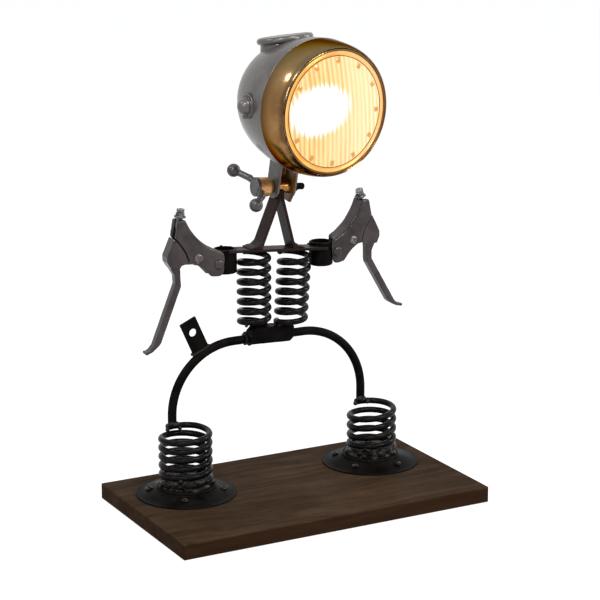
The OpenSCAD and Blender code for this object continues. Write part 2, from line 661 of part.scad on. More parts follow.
module headlamp_bowl() color(grey) head_frame() difference() {
    union() {
        about_y() rotate_extrude($fn = 128) intersection() {
            head_section(0);
            translate([0, bezel_l]) square([head_r + 5, head_l]);
        }
        collar_frame() {
            translate([0, 0, -30]) cylinder(h = 30, r = neck_r, $fn = 96);
            translate([0, 0, -flange_h/2]) rotate_extrude($fn = 96) {
                translate([collar_r - flange_h/2, 0]) circle(d = flange_h, $fn = 32);
                translate([0, -flange_h/2]) square([collar_r - flange_h/2, flange_h]);
            }
        }
        for (side = [-1, 1]) boss_frame(side) translate([0, 0, -6]) cylinder(h = 7.5, r = 9);
    }
    about_y() rotate_extrude($fn = 128) intersection() {
        head_section(sheet_t);
        translate([0, -1]) square([head_r + 5, head_l + 5]);
    }
    collar_frame() {
        translate([0, 0, -cap_drop - 2]) cylinder(h = 30, r = collar_r - flange_h + 0.5, $fn = 96);
        translate([0, 0, -24]) cylinder(h = 30, r = neck_r - sheet_t, $fn = 96);
    }
    for (side = [-1, 1]) boss_frame(side) translate([0, 0, -20]) cylinder(h = 40, d = side_bolt_d + 2*clear);
    grommet_frame() translate([0, 0, -15]) cylinder(h = 30, r = grommet_hole);
}

module collar_cap() color(grey) head_frame() collar_frame() translate([0, 0, -cap_drop - 2])
    rotate_extrude($fn = 96) polygon([[0, 0], [collar_r - flange_h + 0.4, 0], [collar_r - flange_h + 0.4, 1.4],
        [collar_r - flange_h - 2, 2], [0, 2]]);

// The fork bolts on the bowl's sides
side_bolt_d = 7;
boss_y = 55;
boss_turn = 8;          // bosses above the middle of the bowl
module boss_frame(side) translate([0, boss_y, 0]) rotate([0, side*(90 - boss_turn), 0])
    translate([0, 0, 66]) children();

module side_bolt(side) color(grey) head_frame() boss_frame(side) union() {
    translate([0, 0, -12]) cylinder(h = 14, d = side_bolt_d);
    translate([0, 0, 1.5]) cylinder(h = 1.2, r = 8.6);
    translate([0, 0, 2.7]) intersection() {
        translate([0, 0, -2.5]) sphere(r = 8.4, $fn = 48);
        cylinder(h = 10, r = 8);
    }
}

bezel_t = 1.4;
lip_r = lens_r + 0.3;   // opening of the bezel
module headlamp_bezel() color(nickel) head_frame() about_y() rotate_extrude($fn = 128) difference() {
    intersection() {
        union() {
            head_section(0);
            translate([rim_r - 0.4, 0.6]) circle(1, $fn = 24);
        }
        translate([0, -3]) square([head_r + 5, bezel_l + 3 - 0.2]);
    }
    difference() {
        head_section(bezel_t);
        translate([0, 0]) square([100, bezel_t]);
    }
    translate([0, -3]) square([lip_r, 8]);
}

module bezel_screw() color(steel) head_frame() rotate([0, 31, 0]) translate([0, bezel_l - 7, -head_r + 0.9])
    rotate([180, 0, 0]) union() {
        cylinder(h = 1.6, d = 6);
        translate([0, 0, -4]) cylinder(h = 4, d = 3);
    }

module lens_gasket() color(black) head_frame() about_y() rotate_extrude($fn = 128)
    translate([lens_r - 4, 5.5]) square([6.5, 2.4]);

dome_r = 56;            // edge of the lens's dome, inside its flat rim
lens_dome = 5;
function lens_y(r) = 2 - lens_dome*(1 - pow(r/dome_r, 2));
module lens_glass() color([1, 0.85, 0.5, 0.5]) head_frame() about_y() rotate_extrude($fn = 128)
    polygon(concat([for (k = [0:8]) let (r = dome_r*k/8) [r, lens_y(r)]],
        [[dome_r, 1], [dome_r + 1, 0.2], [lens_r - 1, 0.2], [lens_r, 1.2], [lens_r, 5.4], [dome_r - 2, 5.4]],
        [for (k = [8:-1:0]) let (r = (dome_r - 3)*k/8) [r, lens_y(r) + 3]]));

reflector_l = 46;
reflector_hole = 15;
function reflector_r(y) = sqrt(pow(reflector_hole, 2)
    + (pow(lens_r - 3, 2) - pow(reflector_hole, 2))*y/reflector_l);
module reflector() color([0.9, 0.85, 0.7]) head_frame() about_y() rotate_extrude($fn = 128)
    polygon(concat([for (k = [0:10]) let (y = reflector_l*pow(k/10, 1.6)) [reflector_r(y), 8 + reflector_l - y]],
        [[lens_r + 1.5, 8], [lens_r + 1.5, 9]],
        [for (k = [10:-1:0]) let (y = reflector_l*pow(k/10, 1.6)) [reflector_r(y) + 1, 9 + reflector_l - y]]));

module lampholder() color([0.85, 0.84, 0.8]) head_frame() about_y() translate([0, 0, 56]) rotate_extrude()
    polygon([[0, 16], [12.8, 16], [12.8, 0], [14.5, 0], [14.5, 30], [12, 38], [9, 44], [0, 44]]);

bulb_r = 18;
bulb_t = 1;
module bulb() color([1, 0.95, 0.85, 0.6]) head_frame() about_y() translate([0, 0, 37]) {
    rotate_extrude() difference() {
        union() {
            circle(bulb_r);
            translate([0, 13]) square([12.4, 10]);
        }
        circle(bulb_r - bulb_t);
        translate([0, 12]) square([12.4 - bulb_t, 12]);
        translate([-40, -40]) square([40, 90]);
    }
    translate([0, 0, 22]) cylinder(h = 12, r = 12.4);
}

grommet_hole = 5.5;
module grommet_frame() translate([0, head_l - 1.4, -20]) rotate([-90, 0, 0]) children();
module cable_grommet() color(black) head_frame() grommet_frame() rotate_extrude() polygon([[3.5, -4], [7.5, -4],
    [7.5, -1.6], [grommet_hole, -1.6], [grommet_hole, 1.6], [7.5, 1.6], [7, 4], [3.5, 4]]);

base_board();
foot_plate(-1);  // foot_plate_left
foot_plate(1);  // foot_plate_right
foot_screws(-1);  // foot_screws_left
foot_screws(1);  // foot_screws_right
foot_spring(-1);  // foot_spring_left
foot_spring(1);  // foot_spring_right
leg_arch();
leg_tab();
hip_block();
torso_spring(-1);  // torso_spring_left
torso_spring(1);  // torso_spring_right
shoulder_bar();
shoulder_ring(-1);  // shoulder_ring_left
shoulder_ring(1);  // shoulder_ring_right
lever_perch(-1);  // lever_perch_left
lever_perch(1);  // lever_perch_right
perch_pin(-1);  // perch_pin_left
perch_pin(1);  // perch_pin_right
lever_pivot(-1);  // lever_pivot_left
lever_pivot(1);  // lever_pivot_right
lever_blade(-1);  // lever_blade_left
lever_blade(1);  // lever_blade_right
adjuster(-1);  // adjuster_left
adjuster(1);  // adjuster_right
adjuster_nut(-1);  // adjuster_nut_left
adjuster_nut(1);  // adjuster_nut_right
neck_bar(-1);  // neck_bar_left
neck_bar(1);  // neck_bar_right
neck_tube();
head_bracket();
clamp_nut();
clamp_bolt();
clamp_handle();
headlamp_bowl();
collar_cap();
headlamp_bezel();
bezel_screw();
lens_gasket();
lens_glass();
reflector();
lampholder();
bulb();
side_bolt(-1);  // side_bolt_left
side_bolt(1);  // side_bolt_right
cable_grommet();
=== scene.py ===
"""Looks of the robot desk lamp: springs, brake levers and a moped headlamp welded up on a dark board.

Lengths in this script are millimetres until a mesh is made. +X is to the right of the picture,
+Y to the back, +Z up, and the origin is the middle of the board's underside.
"""
import math
import random

import bmesh
import bpy
from mathutils import Matrix, Quaternion, Vector


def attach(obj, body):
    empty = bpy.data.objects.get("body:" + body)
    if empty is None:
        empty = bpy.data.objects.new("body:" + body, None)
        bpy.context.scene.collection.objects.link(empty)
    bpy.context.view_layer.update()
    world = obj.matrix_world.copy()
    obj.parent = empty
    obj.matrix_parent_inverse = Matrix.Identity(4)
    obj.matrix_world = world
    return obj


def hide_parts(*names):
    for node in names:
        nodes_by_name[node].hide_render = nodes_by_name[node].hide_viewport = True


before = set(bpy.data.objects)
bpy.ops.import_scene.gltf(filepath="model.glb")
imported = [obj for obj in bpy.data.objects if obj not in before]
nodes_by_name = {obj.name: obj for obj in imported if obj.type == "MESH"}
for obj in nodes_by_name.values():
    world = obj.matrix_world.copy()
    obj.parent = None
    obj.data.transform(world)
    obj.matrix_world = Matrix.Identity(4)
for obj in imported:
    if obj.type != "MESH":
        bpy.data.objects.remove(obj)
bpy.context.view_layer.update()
MM = 0.001


# ---------------- camera, light and floor
CAMERA_AT = Vector((-956.4, -1789.5, 730.0)) * MM
CAMERA_AIM = Vector((6.892, 0.0, 214.18)) * MM
CAMERA_ROLL = -0.085
CAMERA_LENS = 123.69


def look_from(place, aim, roll=0.0):
    turn = (aim - place).to_track_quat("-Z", "Y") @ Quaternion((0, 0, 1), math.radians(roll))
    return Matrix.Translation(place) @ turn.to_matrix().to_4x4()


def add_camera():
    data = bpy.data.cameras.new("camera")
    data.lens = CAMERA_LENS
    data.sensor_width = 36.0
    data.clip_end = 50.0
    camera = bpy.data.objects.new("camera", data)
    camera.matrix_world = look_from(CAMERA_AT, CAMERA_AIM, CAMERA_ROLL)
    bpy.context.scene.collection.objects.link(camera)
    bpy.context.scene.camera = camera


def add_softbox(name, place, aim, width, height, power):
    data = bpy.data.lights.new(name, "AREA")
    data.shape = "RECTANGLE"
    data.size, data.size_y = width, height
    data.energy = power
    light = bpy.data.objects.new(name, data)
    light.matrix_world = look_from(Vector(place), Vector(aim))
    bpy.context.scene.collection.objects.link(light)


# ---------------- frames of the object
def place_matrix(move=(0, 0, 0), turns=()):
    matrix = Matrix.Translation(Vector(move))
    for axis, degrees in turns:
        matrix = matrix @ Matrix.Rotation(math.radians(degrees), 4, axis)
    return matrix


# Places, sizes and leans of the object, named as in the part's source
FOOT_X, FOOT_Y, FOOT_TOP = 109.0, 31.0, 27.0
LEG_X, LEG_Y, ARCH_X = 111.5, 54.0, -1.9
TAB_HOLE_X, TAB_HOLE_Z, TAB_LEAN = -88.75, 179.4, 24.0
HIP_TOP, HIP_LEAN = 178.0, 2.3
TORSO_Y, SHOULDER_Z, LEAN = 41.0, 261.9, 4.3
RING_X, RING_Y = 55.8, 45.0
PIVOT_X, PIVOT_Z, ARM_SWEEP, ARM_ROLL = 88.5, 261.2, 4.0, 2.0
BOLT_X, BOLT_H = 2.5, 63.1
HEAD_R, RIM_R, BEZEL_L, HEAD_L = 67.6, 61.5, 31.0, 113.0
SIDES = ((-1, "left"), (1, "right"))

SHOULDER = place_matrix((0, TORSO_Y, SHOULDER_Z), [("Y", LEAN)])
BOLT = SHOULDER @ place_matrix((BOLT_X, 0, BOLT_H))
HEAD = place_matrix((13.2, -62.0, 414.9), [("Z", 7.5), ("X", 2.8), ("Y", -6.0)])
HEAD_AXIS = HEAD @ Matrix.Rotation(math.radians(-90), 4, "X")   # local Z runs back from the lens ring
HEAD_AT = Matrix.Translation(HEAD.translation * MM) @ HEAD.to_3x3().to_4x4()   # for pieces made in metres


def arm_frame(side):
    """Frame of an arm: origin in the lever's pivot, local Z upwards along the perch."""
    mirror = Matrix.Diagonal((side, 1, 1, 1))
    return mirror @ place_matrix((RING_X, RING_Y, 0), [("Z", ARM_SWEEP)]) @ place_matrix(
        (PIVOT_X - RING_X, TORSO_Y - RING_Y, PIVOT_Z), [("Y", -ARM_ROLL * side)])


# ---------------- node helpers
class Tree:
    """Adds nodes to a node tree; a socket given as a value is linked, anything else is set."""

    def __init__(self, tree):
        self.tree = tree

    def add(self, kind, values=None, **settings):
        node = self.tree.nodes.new(kind)
        for key, value in settings.items():
            setattr(node, key, value)
        self.set(node.inputs, values or {})
        return node

    def set(self, sockets, values):
        for key, value in values.items():
            if isinstance(value, bpy.types.NodeSocket):
                self.tree.links.new(value, sockets[key])
            else:
                sockets[key].default_value = value

    def math(self, operation, a, b=0.0, clamp=False):
        return self.add("ShaderNodeMath", {0: a, 1: b}, operation=operation, use_clamp=clamp).outputs[0]

    def times(self, a, b):
        return self.math("MULTIPLY", a, b)

    def vector(self, operation, a, b=(0.0, 0.0, 0.0)):
        """Vector maths; a dot product or a length gives a value."""
        outputs = self.add("ShaderNodeVectorMath", {0: a, 1: b}, operation=operation).outputs
        return outputs["Value" if operation in ("DOT_PRODUCT", "LENGTH") else "Vector"]

    def remap(self, value, low, high, to_low, to_high, smooth=False):
        kind = "SMOOTHSTEP" if smooth else "LINEAR"
        return self.add("ShaderNodeMapRange", {"Value": value, "From Min": low, "From Max": high,
                                               "To Min": to_low, "To Max": to_high},
                        interpolation_type=kind).outputs[0]

    def mix(self, factor, a, b):
        node = self.add("ShaderNodeMix", data_type="RGBA", blend_type="MIX")
        a, b = (c if isinstance(c, bpy.types.NodeSocket) else (*c[:3], 1.0) for c in (a, b))
        self.set(node.inputs, {0: factor, 6: a, 7: b})
        return node.outputs[2]

    def ramp(self, value, stops):
        node = self.add("ShaderNodeValToRGB", {0: value})
        elements = node.color_ramp.elements
        while len(elements) < len(stops):
            elements.new(0.5)
        for element, (place, colour) in zip(elements, stops):
            element.position = place
            element.color = (*colour, 1.0)
        return node.outputs[0]

    def here(self):
        return self.add("ShaderNodeTexCoord").outputs["Object"]

    def object_place(self, scale=(1, 1, 1)):
        return self.add("ShaderNodeMapping", {"Vector": self.here(), "Scale": scale}).outputs[0]

    def noise(self, place, scale, detail, roughness, distortion=0.0):
        return self.add("ShaderNodeTexNoise", {"Vector": place, "Scale": scale, "Detail": detail,
                                               "Roughness": roughness, "Distortion": distortion}).outputs[0]

    def group(self, tree, **values):
        """Outputs of a shared effect; break_up stands for the input called Break up."""
        values = {label.capitalize().replace("_", " "): value for label, value in values.items()}
        return self.add("ShaderNodeGroup", values, node_tree=tree).outputs


def srgb(*seen):
    """A colour written as it is seen, 0 to 255, as the shader's linear values."""
    return tuple(c / 3294.6 if c <= 10.3 else ((c / 255 + 0.055) / 1.055) ** 2.4 for c in seen)


def new_effect(name, inputs, outputs):
    tree = bpy.data.node_groups.new(name, "ShaderNodeTree")
    for label, value in inputs.items():
        kind = "NodeSocketVector" if isinstance(value, tuple) else "NodeSocketFloat"
        tree.interface.new_socket(label, in_out="INPUT", socket_type=kind).default_value = value
    for label in outputs:
        tree.interface.new_socket(label, in_out="OUTPUT", socket_type="NodeSocketFloat")
    wires = Tree(tree)
    return wires, wires.add("NodeGroupInput").outputs, wires.add("NodeGroupOutput").inputs


def edge_wear_and_highlight_effect():
    """Mask of the edges that hands and tools rub to the metal, broken up by a noise; it also paints a
    highlight along lit edges.
    """
    wires, given, out = new_effect("edge_wear_and_highlight", {"Width": 0.0012, "Break up": 90.0, "Amount": 1.0}, ["Mask"])
    rounded = wires.add("ShaderNodeBevel", {"Radius": given["Width"]}, samples=6).outputs[0]
    true = wires.add("ShaderNodeNewGeometry").outputs["Normal"]
    level = wires.vector("DOT_PRODUCT", rounded, true)
    worn_and_lit_edge = wires.remap(level, 0.995, 0.86, 0.0, 1.0)
    patch = wires.noise(wires.object_place(), given["Break up"], 5.0, 0.7)
    patch = wires.remap(patch, 0.40, 0.62, 0.0, 1.0)
    mask = wires.math("MULTIPLY", wires.times(worn_and_lit_edge, patch), given["Amount"], clamp=True)
    wires.set(out, {"Mask": mask})
    return wires.tree


def surface_grain_effect():
    """Broad mottling and fine grit of a painted, cast or rolled surface."""
    inputs = {"Mottle": 30.0, "Grit": 900.0, "Stretch": (1.0, 1.0, 1.0)}
    wires, given, out = new_effect("surface_grain", inputs, ["Mottle", "Grit", "Height"])
    place = wires.vector("MULTIPLY", wires.here(), given["Stretch"])
    mottle = wires.noise(place, given["Mottle"], 5.0, 0.62, 0.6)
    grit = wires.noise(place, given["Grit"], 3.0, 0.7)
    height = wires.math("ADD", wires.times(mottle, 0.7), wires.times(grit, 0.3))
    wires.set(out, {"Mottle": mottle, "Grit": grit, "Height": height})
    return wires.tree


def dust_effect():
    """Pale dust that settles on what faces up, in patches."""
    wires, given, out = new_effect("settled_dust", {"Amount": 0.3, "Patch": 45.0}, ["Mask"])
    normal = wires.add("ShaderNodeNewGeometry").outputs["Normal"]
    up = wires.add("ShaderNodeSeparateXYZ", {0: normal}).outputs["Z"]
    up = wires.remap(up, 0.25, 1.0, 0.0, 1.0, smooth=True)
    patch = wires.noise(wires.object_place(), given["Patch"], 6.0, 0.7)
    patch = wires.remap(patch, 0.42, 0.7, 0.0, 1.0)
    mask = wires.math("MULTIPLY", wires.times(up, patch), given["Amount"], clamp=True)
    wires.set(out, {"Mask": mask})
    return wires.tree


def spill_glow_effect():
    """Mask of the painted warm light that the lamp spills on the metal by the clamp bolt: between two planes
    across it, within a radius.
    """
    wires, given, out = new_effect("painted_spill_glow_by_bolt", {"Left": -0.01, "Right": 0.01, "Radius": 0.05}, ["Mask"])
    place = wires.vector("SUBTRACT", wires.here(), BOLT.translation * MM)
    along = wires.vector("DOT_PRODUCT", place, BOLT.col[0].xyz)
    far = wires.vector("LENGTH", place)
    square = wires.math("SUBTRACT", wires.times(far, far), wires.times(along, along))
    radius = wires.math("SQRT", wires.math("MAXIMUM", square, 0.0))
    inside = wires.times(wires.math("GREATER_THAN", along, given["Left"]),
                         wires.math("LESS_THAN", along, given["Right"]))
    mask = wires.times(inside, wires.math("LESS_THAN", radius, given["Radius"]))
    wires.set(out, {"Mask": mask})
    return wires.tree


EDGE_WEAR_AND_HIGHLIGHT = edge_wear_and_highlight_effect()
SPILL_GLOW = spill_glow_effect()
SURFACE_GRAIN = surface_grain_effect()
SETTLED_DUST = dust_effect()


# ---------------- materials
def clear_tree(owner):
    owner.use_nodes = True
    owner.node_tree.nodes.clear()
    return Tree(owner.node_tree)


def new_material(name):
    """A material with a Principled shader: the material, its tree and the shader's inputs."""
    material = bpy.data.materials.new(name)
    wires = clear_tree(material)
    shader = wires.add("ShaderNodeBsdfPrincipled")
    wires.add("ShaderNodeOutputMaterial", {"Surface": shader.outputs[0]})
    return material, wires, shader.inputs


def bump(wires, height, strength, distance):
    return wires.add("ShaderNodeBump", {"Height": height, "Strength": strength,
                                        "Distance": distance}).outputs[0]


def finished_metal(name, light, dark, bare_and_lit, metallic=0.0, shine=(0.3, 0.5), wear_and_highlight=0.5, dust=0.02,
                   grit=900.0, mottle=60.0, stretch=(1.0, 1.0, 1.0), relief=0.15, relief_depth=0.0004,
                   specular=0.3, spill_glow=None):
    """Paint, plating or unpainted metal: mottled colour, rubbed edges that also carry a painted highlight,
    dust on top and a fine grain.

    The last argument is (left, right, radius, dull, bright): painted warm light of the lamp's spill, between
    two planes across the clamp bolt and within a radius of it, in metres, with its two colours.
    """
    light, dark, bare_and_lit = (srgb(*colour) for colour in (light, dark, bare_and_lit))
    material, wires, shader = new_material(name)
    grain = wires.group(SURFACE_GRAIN, mottle=mottle, grit=grit, stretch=stretch)
    # rubbed edges, also a painted highlight along lit edges
    worn_and_lit_edge = wires.group(EDGE_WEAR_AND_HIGHLIGHT, width=0.0012, break_up=140.0, amount=wear_and_highlight)["Mask"]
    settled = wires.group(SETTLED_DUST, amount=dust, patch=60.0)["Mask"]
    tone = wires.ramp(grain["Mottle"], [(0.34, dark), (0.62, light)])
    speck = wires.remap(grain["Grit"], 0.62, 0.78, 0.0, 0.35)
    tone = wires.mix(speck, tone, [c * 0.55 for c in dark])
    tone = wires.mix(settled, tone, srgb(120, 112, 104))
    # painted warm light of the lamp's spill near the clamp bolt
    if spill_glow:
        left, right, radius, dull, bright = spill_glow
        spill_glow_mask = wires.group(SPILL_GLOW, left=left, right=right, radius=radius)["Mask"]
        gold = wires.ramp(grain["Mottle"], [(0.36, srgb(*dull)), (0.62, srgb(*bright))])
        tone = wires.mix(spill_glow_mask, tone, gold)
    rough = wires.remap(grain["Mottle"], 0.35, 0.65, shine[0], shine[1])
    wires.set(shader, {
        "Base Color": wires.mix(worn_and_lit_edge, tone, bare_and_lit),
        "Roughness": wires.math("ADD", rough, wires.times(settled, 0.3), clamp=True),
        "Metallic": metallic,
        "Specular IOR Level": specular,
        "Normal": bump(wires, grain["Height"], relief, relief_depth)})
    return material


def dark_wood_material():
    """Stained hardwood: long grain, short pores, pale worn edges that also carry a painted highlight, painted
    shade on the sides, and water marks under a thin wax.
    """
    material, wires, shader = new_material("stained_wood")
    place = wires.object_place((1.0, 9.0, 9.0))
    bend = wires.noise(wires.object_place((1.0, 1.6, 1.0)), 5.0, 3.0, 0.5)
    bent = wires.add("ShaderNodeCombineXYZ", {1: wires.times(bend, 0.5)}).outputs[0]
    place = wires.vector("ADD", place, bent)
    figure = wires.noise(place, 7.0, 8.0, 0.62, 0.8)
    streak = wires.noise(wires.object_place((2.2, 70.0, 70.0)), 9.0, 5.0, 0.65)
    pores = wires.noise(wires.object_place((9.0, 190.0, 190.0)), 14.0, 2.0, 0.5)
    pores = wires.remap(pores, 0.60, 0.72, 0.0, 1.0)
    stains = wires.noise(wires.object_place(), 11.0, 4.0, 0.55, 1.2)
    tone = wires.ramp(figure, [(0.30, srgb(31, 20, 12)), (0.47, srgb(44, 31, 21)), (0.66, srgb(60, 45, 32))])
    tone = wires.mix(wires.remap(streak, 0.35, 0.75, 0.0, 0.45), tone, srgb(66, 51, 36))
    tone = wires.mix(wires.times(pores, 0.55), tone, srgb(19, 13, 9))
    tone = wires.mix(wires.remap(stains, 0.55, 0.75, 0.0, 0.4), tone, srgb(42, 34, 29))
    # painted shade: the board's sides darker than its top
    facing = wires.add("ShaderNodeSeparateXYZ", {0: wires.add("ShaderNodeNewGeometry").outputs["Normal"]})
    side = wires.remap(facing.outputs["Z"], 0.75, 0.3, 0.0, 1.0)
    tone = wires.mix(wires.times(side, 0.6), tone, srgb(36, 19, 9))
    # pale worn edges, also a painted highlight along them
    worn_and_lit_edge = wires.group(EDGE_WEAR_AND_HIGHLIGHT, width=0.003, break_up=55.0, amount=0.5)["Mask"]
    tone = wires.mix(worn_and_lit_edge, tone, srgb(98, 72, 52))
    dust = wires.group(SETTLED_DUST, amount=0.06, patch=26.0)["Mask"]
    height = wires.math("SUBTRACT", wires.times(streak, 0.7), wires.times(pores, 0.6))
    wires.set(shader, {
        "Base Color": wires.mix(dust, tone, srgb(112, 98, 86)),
        "Roughness": wires.remap(figure, 0.3, 0.7, 0.62, 0.46),
        "Specular IOR Level": 0.008,
        "Normal": bump(wires, height, 0.35, 0.0006)})
    return material


FLUTE = 5.3              # spacing of the lens's upright flutes
PIPS = 12                # small moulded stops round the lens
PIP_R = 50.6
PIP_START = 8.0          # angle of the first stop, in degrees
CORE = (-19.0, 5.5)      # middle of the white glow, from the lens's middle
CORE_SIZE = (36.0, 25.5)


def lens_glow_effect():
    """Masks of the lit lens, in the lens's own frame: white core, flutes, stops, and how far right."""
    wires, _, out = new_effect("lens_glow", {}, ["Core", "Flute", "Pip", "Right"])
    place = wires.vector("MULTIPLY", wires.here(), (1000.0, 1000.0, 1000.0))
    split = wires.add("ShaderNodeSeparateXYZ", {0: place}).outputs
    x, z = split["X"], split["Z"]

    def length(a, b):
        return wires.math("SQRT", wires.math("ADD", wires.times(a, a), wires.times(b, b)))

    wobble = wires.noise(wires.vector("MULTIPLY", place, (0.25, 0.0, 0.02)), 1.0, 2.0, 0.5)
    phase = wires.times(wires.math("ADD", x, wires.times(wobble, 3.0)), 2 * math.pi / FLUTE)
    flute = wires.remap(wires.math("COSINE", phase), -1.0, 1.0, 0.0, 1.0)
    jag = wires.noise(wires.vector("MULTIPLY", place, (0.42, 0.0, 0.03)), 1.0, 3.0, 0.6)
    across, up = (wires.math("DIVIDE", wires.math("SUBTRACT", value, middle), size)
                  for value, middle, size in zip((x, z), CORE, CORE_SIZE))
    far = wires.math("ADD", length(across, up), wires.times(wires.math("SUBTRACT", jag, 0.5), 0.55))
    far = wires.math("ADD", far, wires.times(flute, 0.10))
    angle = wires.times(wires.math("ARCTAN2", x, z), PIPS / 2)
    turn = wires.math("COSINE", wires.math("SUBTRACT", angle, math.radians(PIP_START * PIPS / 2)))
    off_ring = wires.math("ABSOLUTE", wires.math("SUBTRACT", length(x, z), PIP_R))
    wires.set(out, {
        "Core": wires.remap(far, 0.92, 1.12, 1.0, 0.0, smooth=True),
        "Flute": flute,
        "Pip": wires.times(wires.remap(wires.math("ABSOLUTE", turn), 0.94, 0.985, 0.0, 1.0),
                           wires.remap(off_ring, 1.9, 3.4, 1.0, 0.0)),
        "Right": wires.remap(x, -30.0, 48.0, 0.0, 1.0, smooth=True)})
    return wires.tree


LENS_GLOW = lens_glow_effect()


def lit_lens_material():
    """Fluted glass in front of the lit bulb: a white core in amber that pales to the right."""
    material, wires, shader = new_material("lit_fluted_glass")
    glow = wires.group(LENS_GLOW)
    grain = wires.group(SURFACE_GRAIN, mottle=55.0, grit=420.0, stretch=(1.0, 1.0, 0.25))
    amber = wires.mix(glow["Flute"], srgb(255, 222, 140), srgb(214, 140, 56))
    cream = wires.mix(glow["Flute"], srgb(255, 246, 214), srgb(244, 208, 138))
    tone = wires.mix(glow["Right"], amber, cream)
    tone = wires.mix(wires.remap(grain["Mottle"], 0.4, 0.65, 0.0, 0.55), tone, srgb(255, 238, 184))
    tone = wires.mix(glow["Pip"], tone, srgb(206, 132, 26))
    wires.set(shader, {
        "Emission Color": wires.mix(glow["Core"], tone, (1.0, 1.0, 1.0)),
        "Emission Strength": 0.92,
        "Base Color": wires.mix(grain["Mottle"], srgb(120, 96, 56), srgb(92, 70, 38)),
        "Roughness": wires.remap(grain["Grit"], 0.3, 0.7, 0.10, 0.2),
        "Normal": bump(wires, grain["Height"], 0.08, 0.0004)})
    return material


def glowing_ring_material():
    """Bright seat ring round the lens, tinted gold by the light that spills onto it."""
    material, wires, shader = new_material("gilded_ring")
    grain = wires.group(SURFACE_GRAIN, mottle=26.0, grit=500.0)
    across = wires.add("ShaderNodeSeparateXYZ", {0: wires.here()}).outputs["X"]
    right = wires.remap(across, -0.02, 0.055, 0.0, 1.0)
    gold = wires.ramp(grain["Mottle"], [(0.35, srgb(226, 154, 54)), (0.5, srgb(248, 196, 96)),
                                        (0.66, srgb(255, 226, 150))])
    wires.set(shader, {
        "Emission Color": wires.mix(wires.times(right, 0.7), gold, srgb(255, 226, 172)),
        "Emission Strength": 0.62,
        "Base Color": wires.mix(grain["Grit"], srgb(196, 140, 66), srgb(160, 108, 44)),
        "Metallic": 0.6,
        "Roughness": wires.remap(grain["Grit"], 0.3, 0.7, 0.16, 0.3),
        "Normal": bump(wires, grain["Height"], 0.06, 0.0003)})
    return material


def plating_with_painted_shade(name, light, dark, bare_and_lit):
    """Polished plating with painted shade on the band by its seam and on its rim, a painted highlight towards
    its top, and fine spots.
    """
    material, wires, shader = new_material(name)
    grain = wires.group(SURFACE_GRAIN, mottle=16.0, grit=700.0)
    worn_and_lit_edge = wires.group(EDGE_WEAR_AND_HIGHLIGHT, width=0.0008, break_up=120.0, amount=0.5)["Mask"]
    tone = wires.ramp(grain["Mottle"], [(0.32, dark), (0.68, light)])
    place = wires.vector("SUBTRACT", wires.here(), HEAD_AT.translation)
    depth, height = (wires.vector("DOT_PRODUCT", place, HEAD_AT.col[axis].xyz) for axis in (1, 2))
    patchy = wires.times(wires.math("SUBTRACT", grain["Mottle"], 0.5), 0.02)
    depth = wires.math("ADD", depth, patchy)
    # painted shade on the band by the seam and on the rim
    seam = wires.remap(depth, 0.014, 0.031, 0.0, 0.75, smooth=True)
    rim_shade = wires.remap(depth, 0.007, 0.0008, 0.0, 0.8, smooth=True)
    tone = wires.mix(wires.math("MAXIMUM", seam, rim_shade), tone, srgb(84, 60, 42))
    # painted highlight: lighter towards the top
    tone = wires.mix(wires.remap(height, 0.015, 0.065, 0.0, 0.6, smooth=True), tone, srgb(128, 116, 84))
    spots = wires.remap(wires.noise(wires.object_place(), 320.0, 2.0, 0.5), 0.68, 0.76, 0.0, 0.5)
    tone = wires.mix(spots, tone, [c * 0.4 for c in dark])
    rough = wires.remap(grain["Mottle"], 0.3, 0.7, 0.12, 0.22)
    wires.set(shader, {
        "Base Color": wires.mix(worn_and_lit_edge, tone, bare_and_lit),
        "Metallic": 1.0,
        "Specular Tint": (0.30, 0.22, 0.15, 1.0),
        "Roughness": wires.math("ADD", rough, wires.times(spots, 0.3)),
        "Normal": bump(wires, grain["Height"], 0.05, 0.0004)})
    return material


def frosted_bulb_material():
    material, wires, shader = new_material("frosted_bulb_glass")
    grain = wires.group(SURFACE_GRAIN, mottle=40.0, grit=800.0)
    wires.set(shader, {
        "Base Color": wires.mix(grain["Mottle"], srgb(255, 244, 220), srgb(255, 236, 200)),
        "Emission Color": wires.mix(grain["Mottle"], srgb(255, 232, 190), srgb(255, 240, 214)),
        "Emission Strength": 1.0,
        "Roughness": wires.remap(grain["Grit"], 0.3, 0.7, 0.2, 0.4),
        "Normal": bump(wires, grain["Height"], 0.05, 0.0002)})
    return material


BLACK = finished_metal(
    "brushed_black_enamel", (18, 15, 14), (7, 6, 6), (62, 54, 50), shine=(0.26, 0.46), wear_and_highlight=0.3, dust=0.04,
    grit=700.0, relief=0.3, specular=0.015)
SPRING_BLACK = finished_metal(
    "spring_wire_enamel", (17, 15, 15), (7, 6, 6), (58, 54, 52), shine=(0.16, 0.3), wear_and_highlight=0.15, dust=0.03,
    grit=500.0, mottle=80.0, relief=0.35, specular=0.06)
BAR_BROWN = finished_metal(
    "browned_flat_steel", (42, 29, 25), (19, 13, 12), (112, 90, 70), shine=(0.3, 0.48), wear_and_highlight=0.45,
    dust=0.08, grit=600.0, mottle=35.0, stretch=(1.0, 1.0, 0.3), relief=0.25, specular=0.06)
WELD = finished_metal(
    "painted_weld", (28, 24, 23), (10, 9, 8), (96, 88, 82), shine=(0.2, 0.4), wear_and_highlight=0.4, grit=420.0,
    mottle=150.0, relief=0.5, relief_depth=0.0016, specular=0.12)
PLATE_BLACK = finished_metal(
    "foot_plate_enamel", (15, 13, 12), (6, 5, 5), (70, 62, 56), shine=(0.26, 0.42), wear_and_highlight=0.4, grit=500.0,
    mottle=40.0, relief=0.25, specular=0.012)
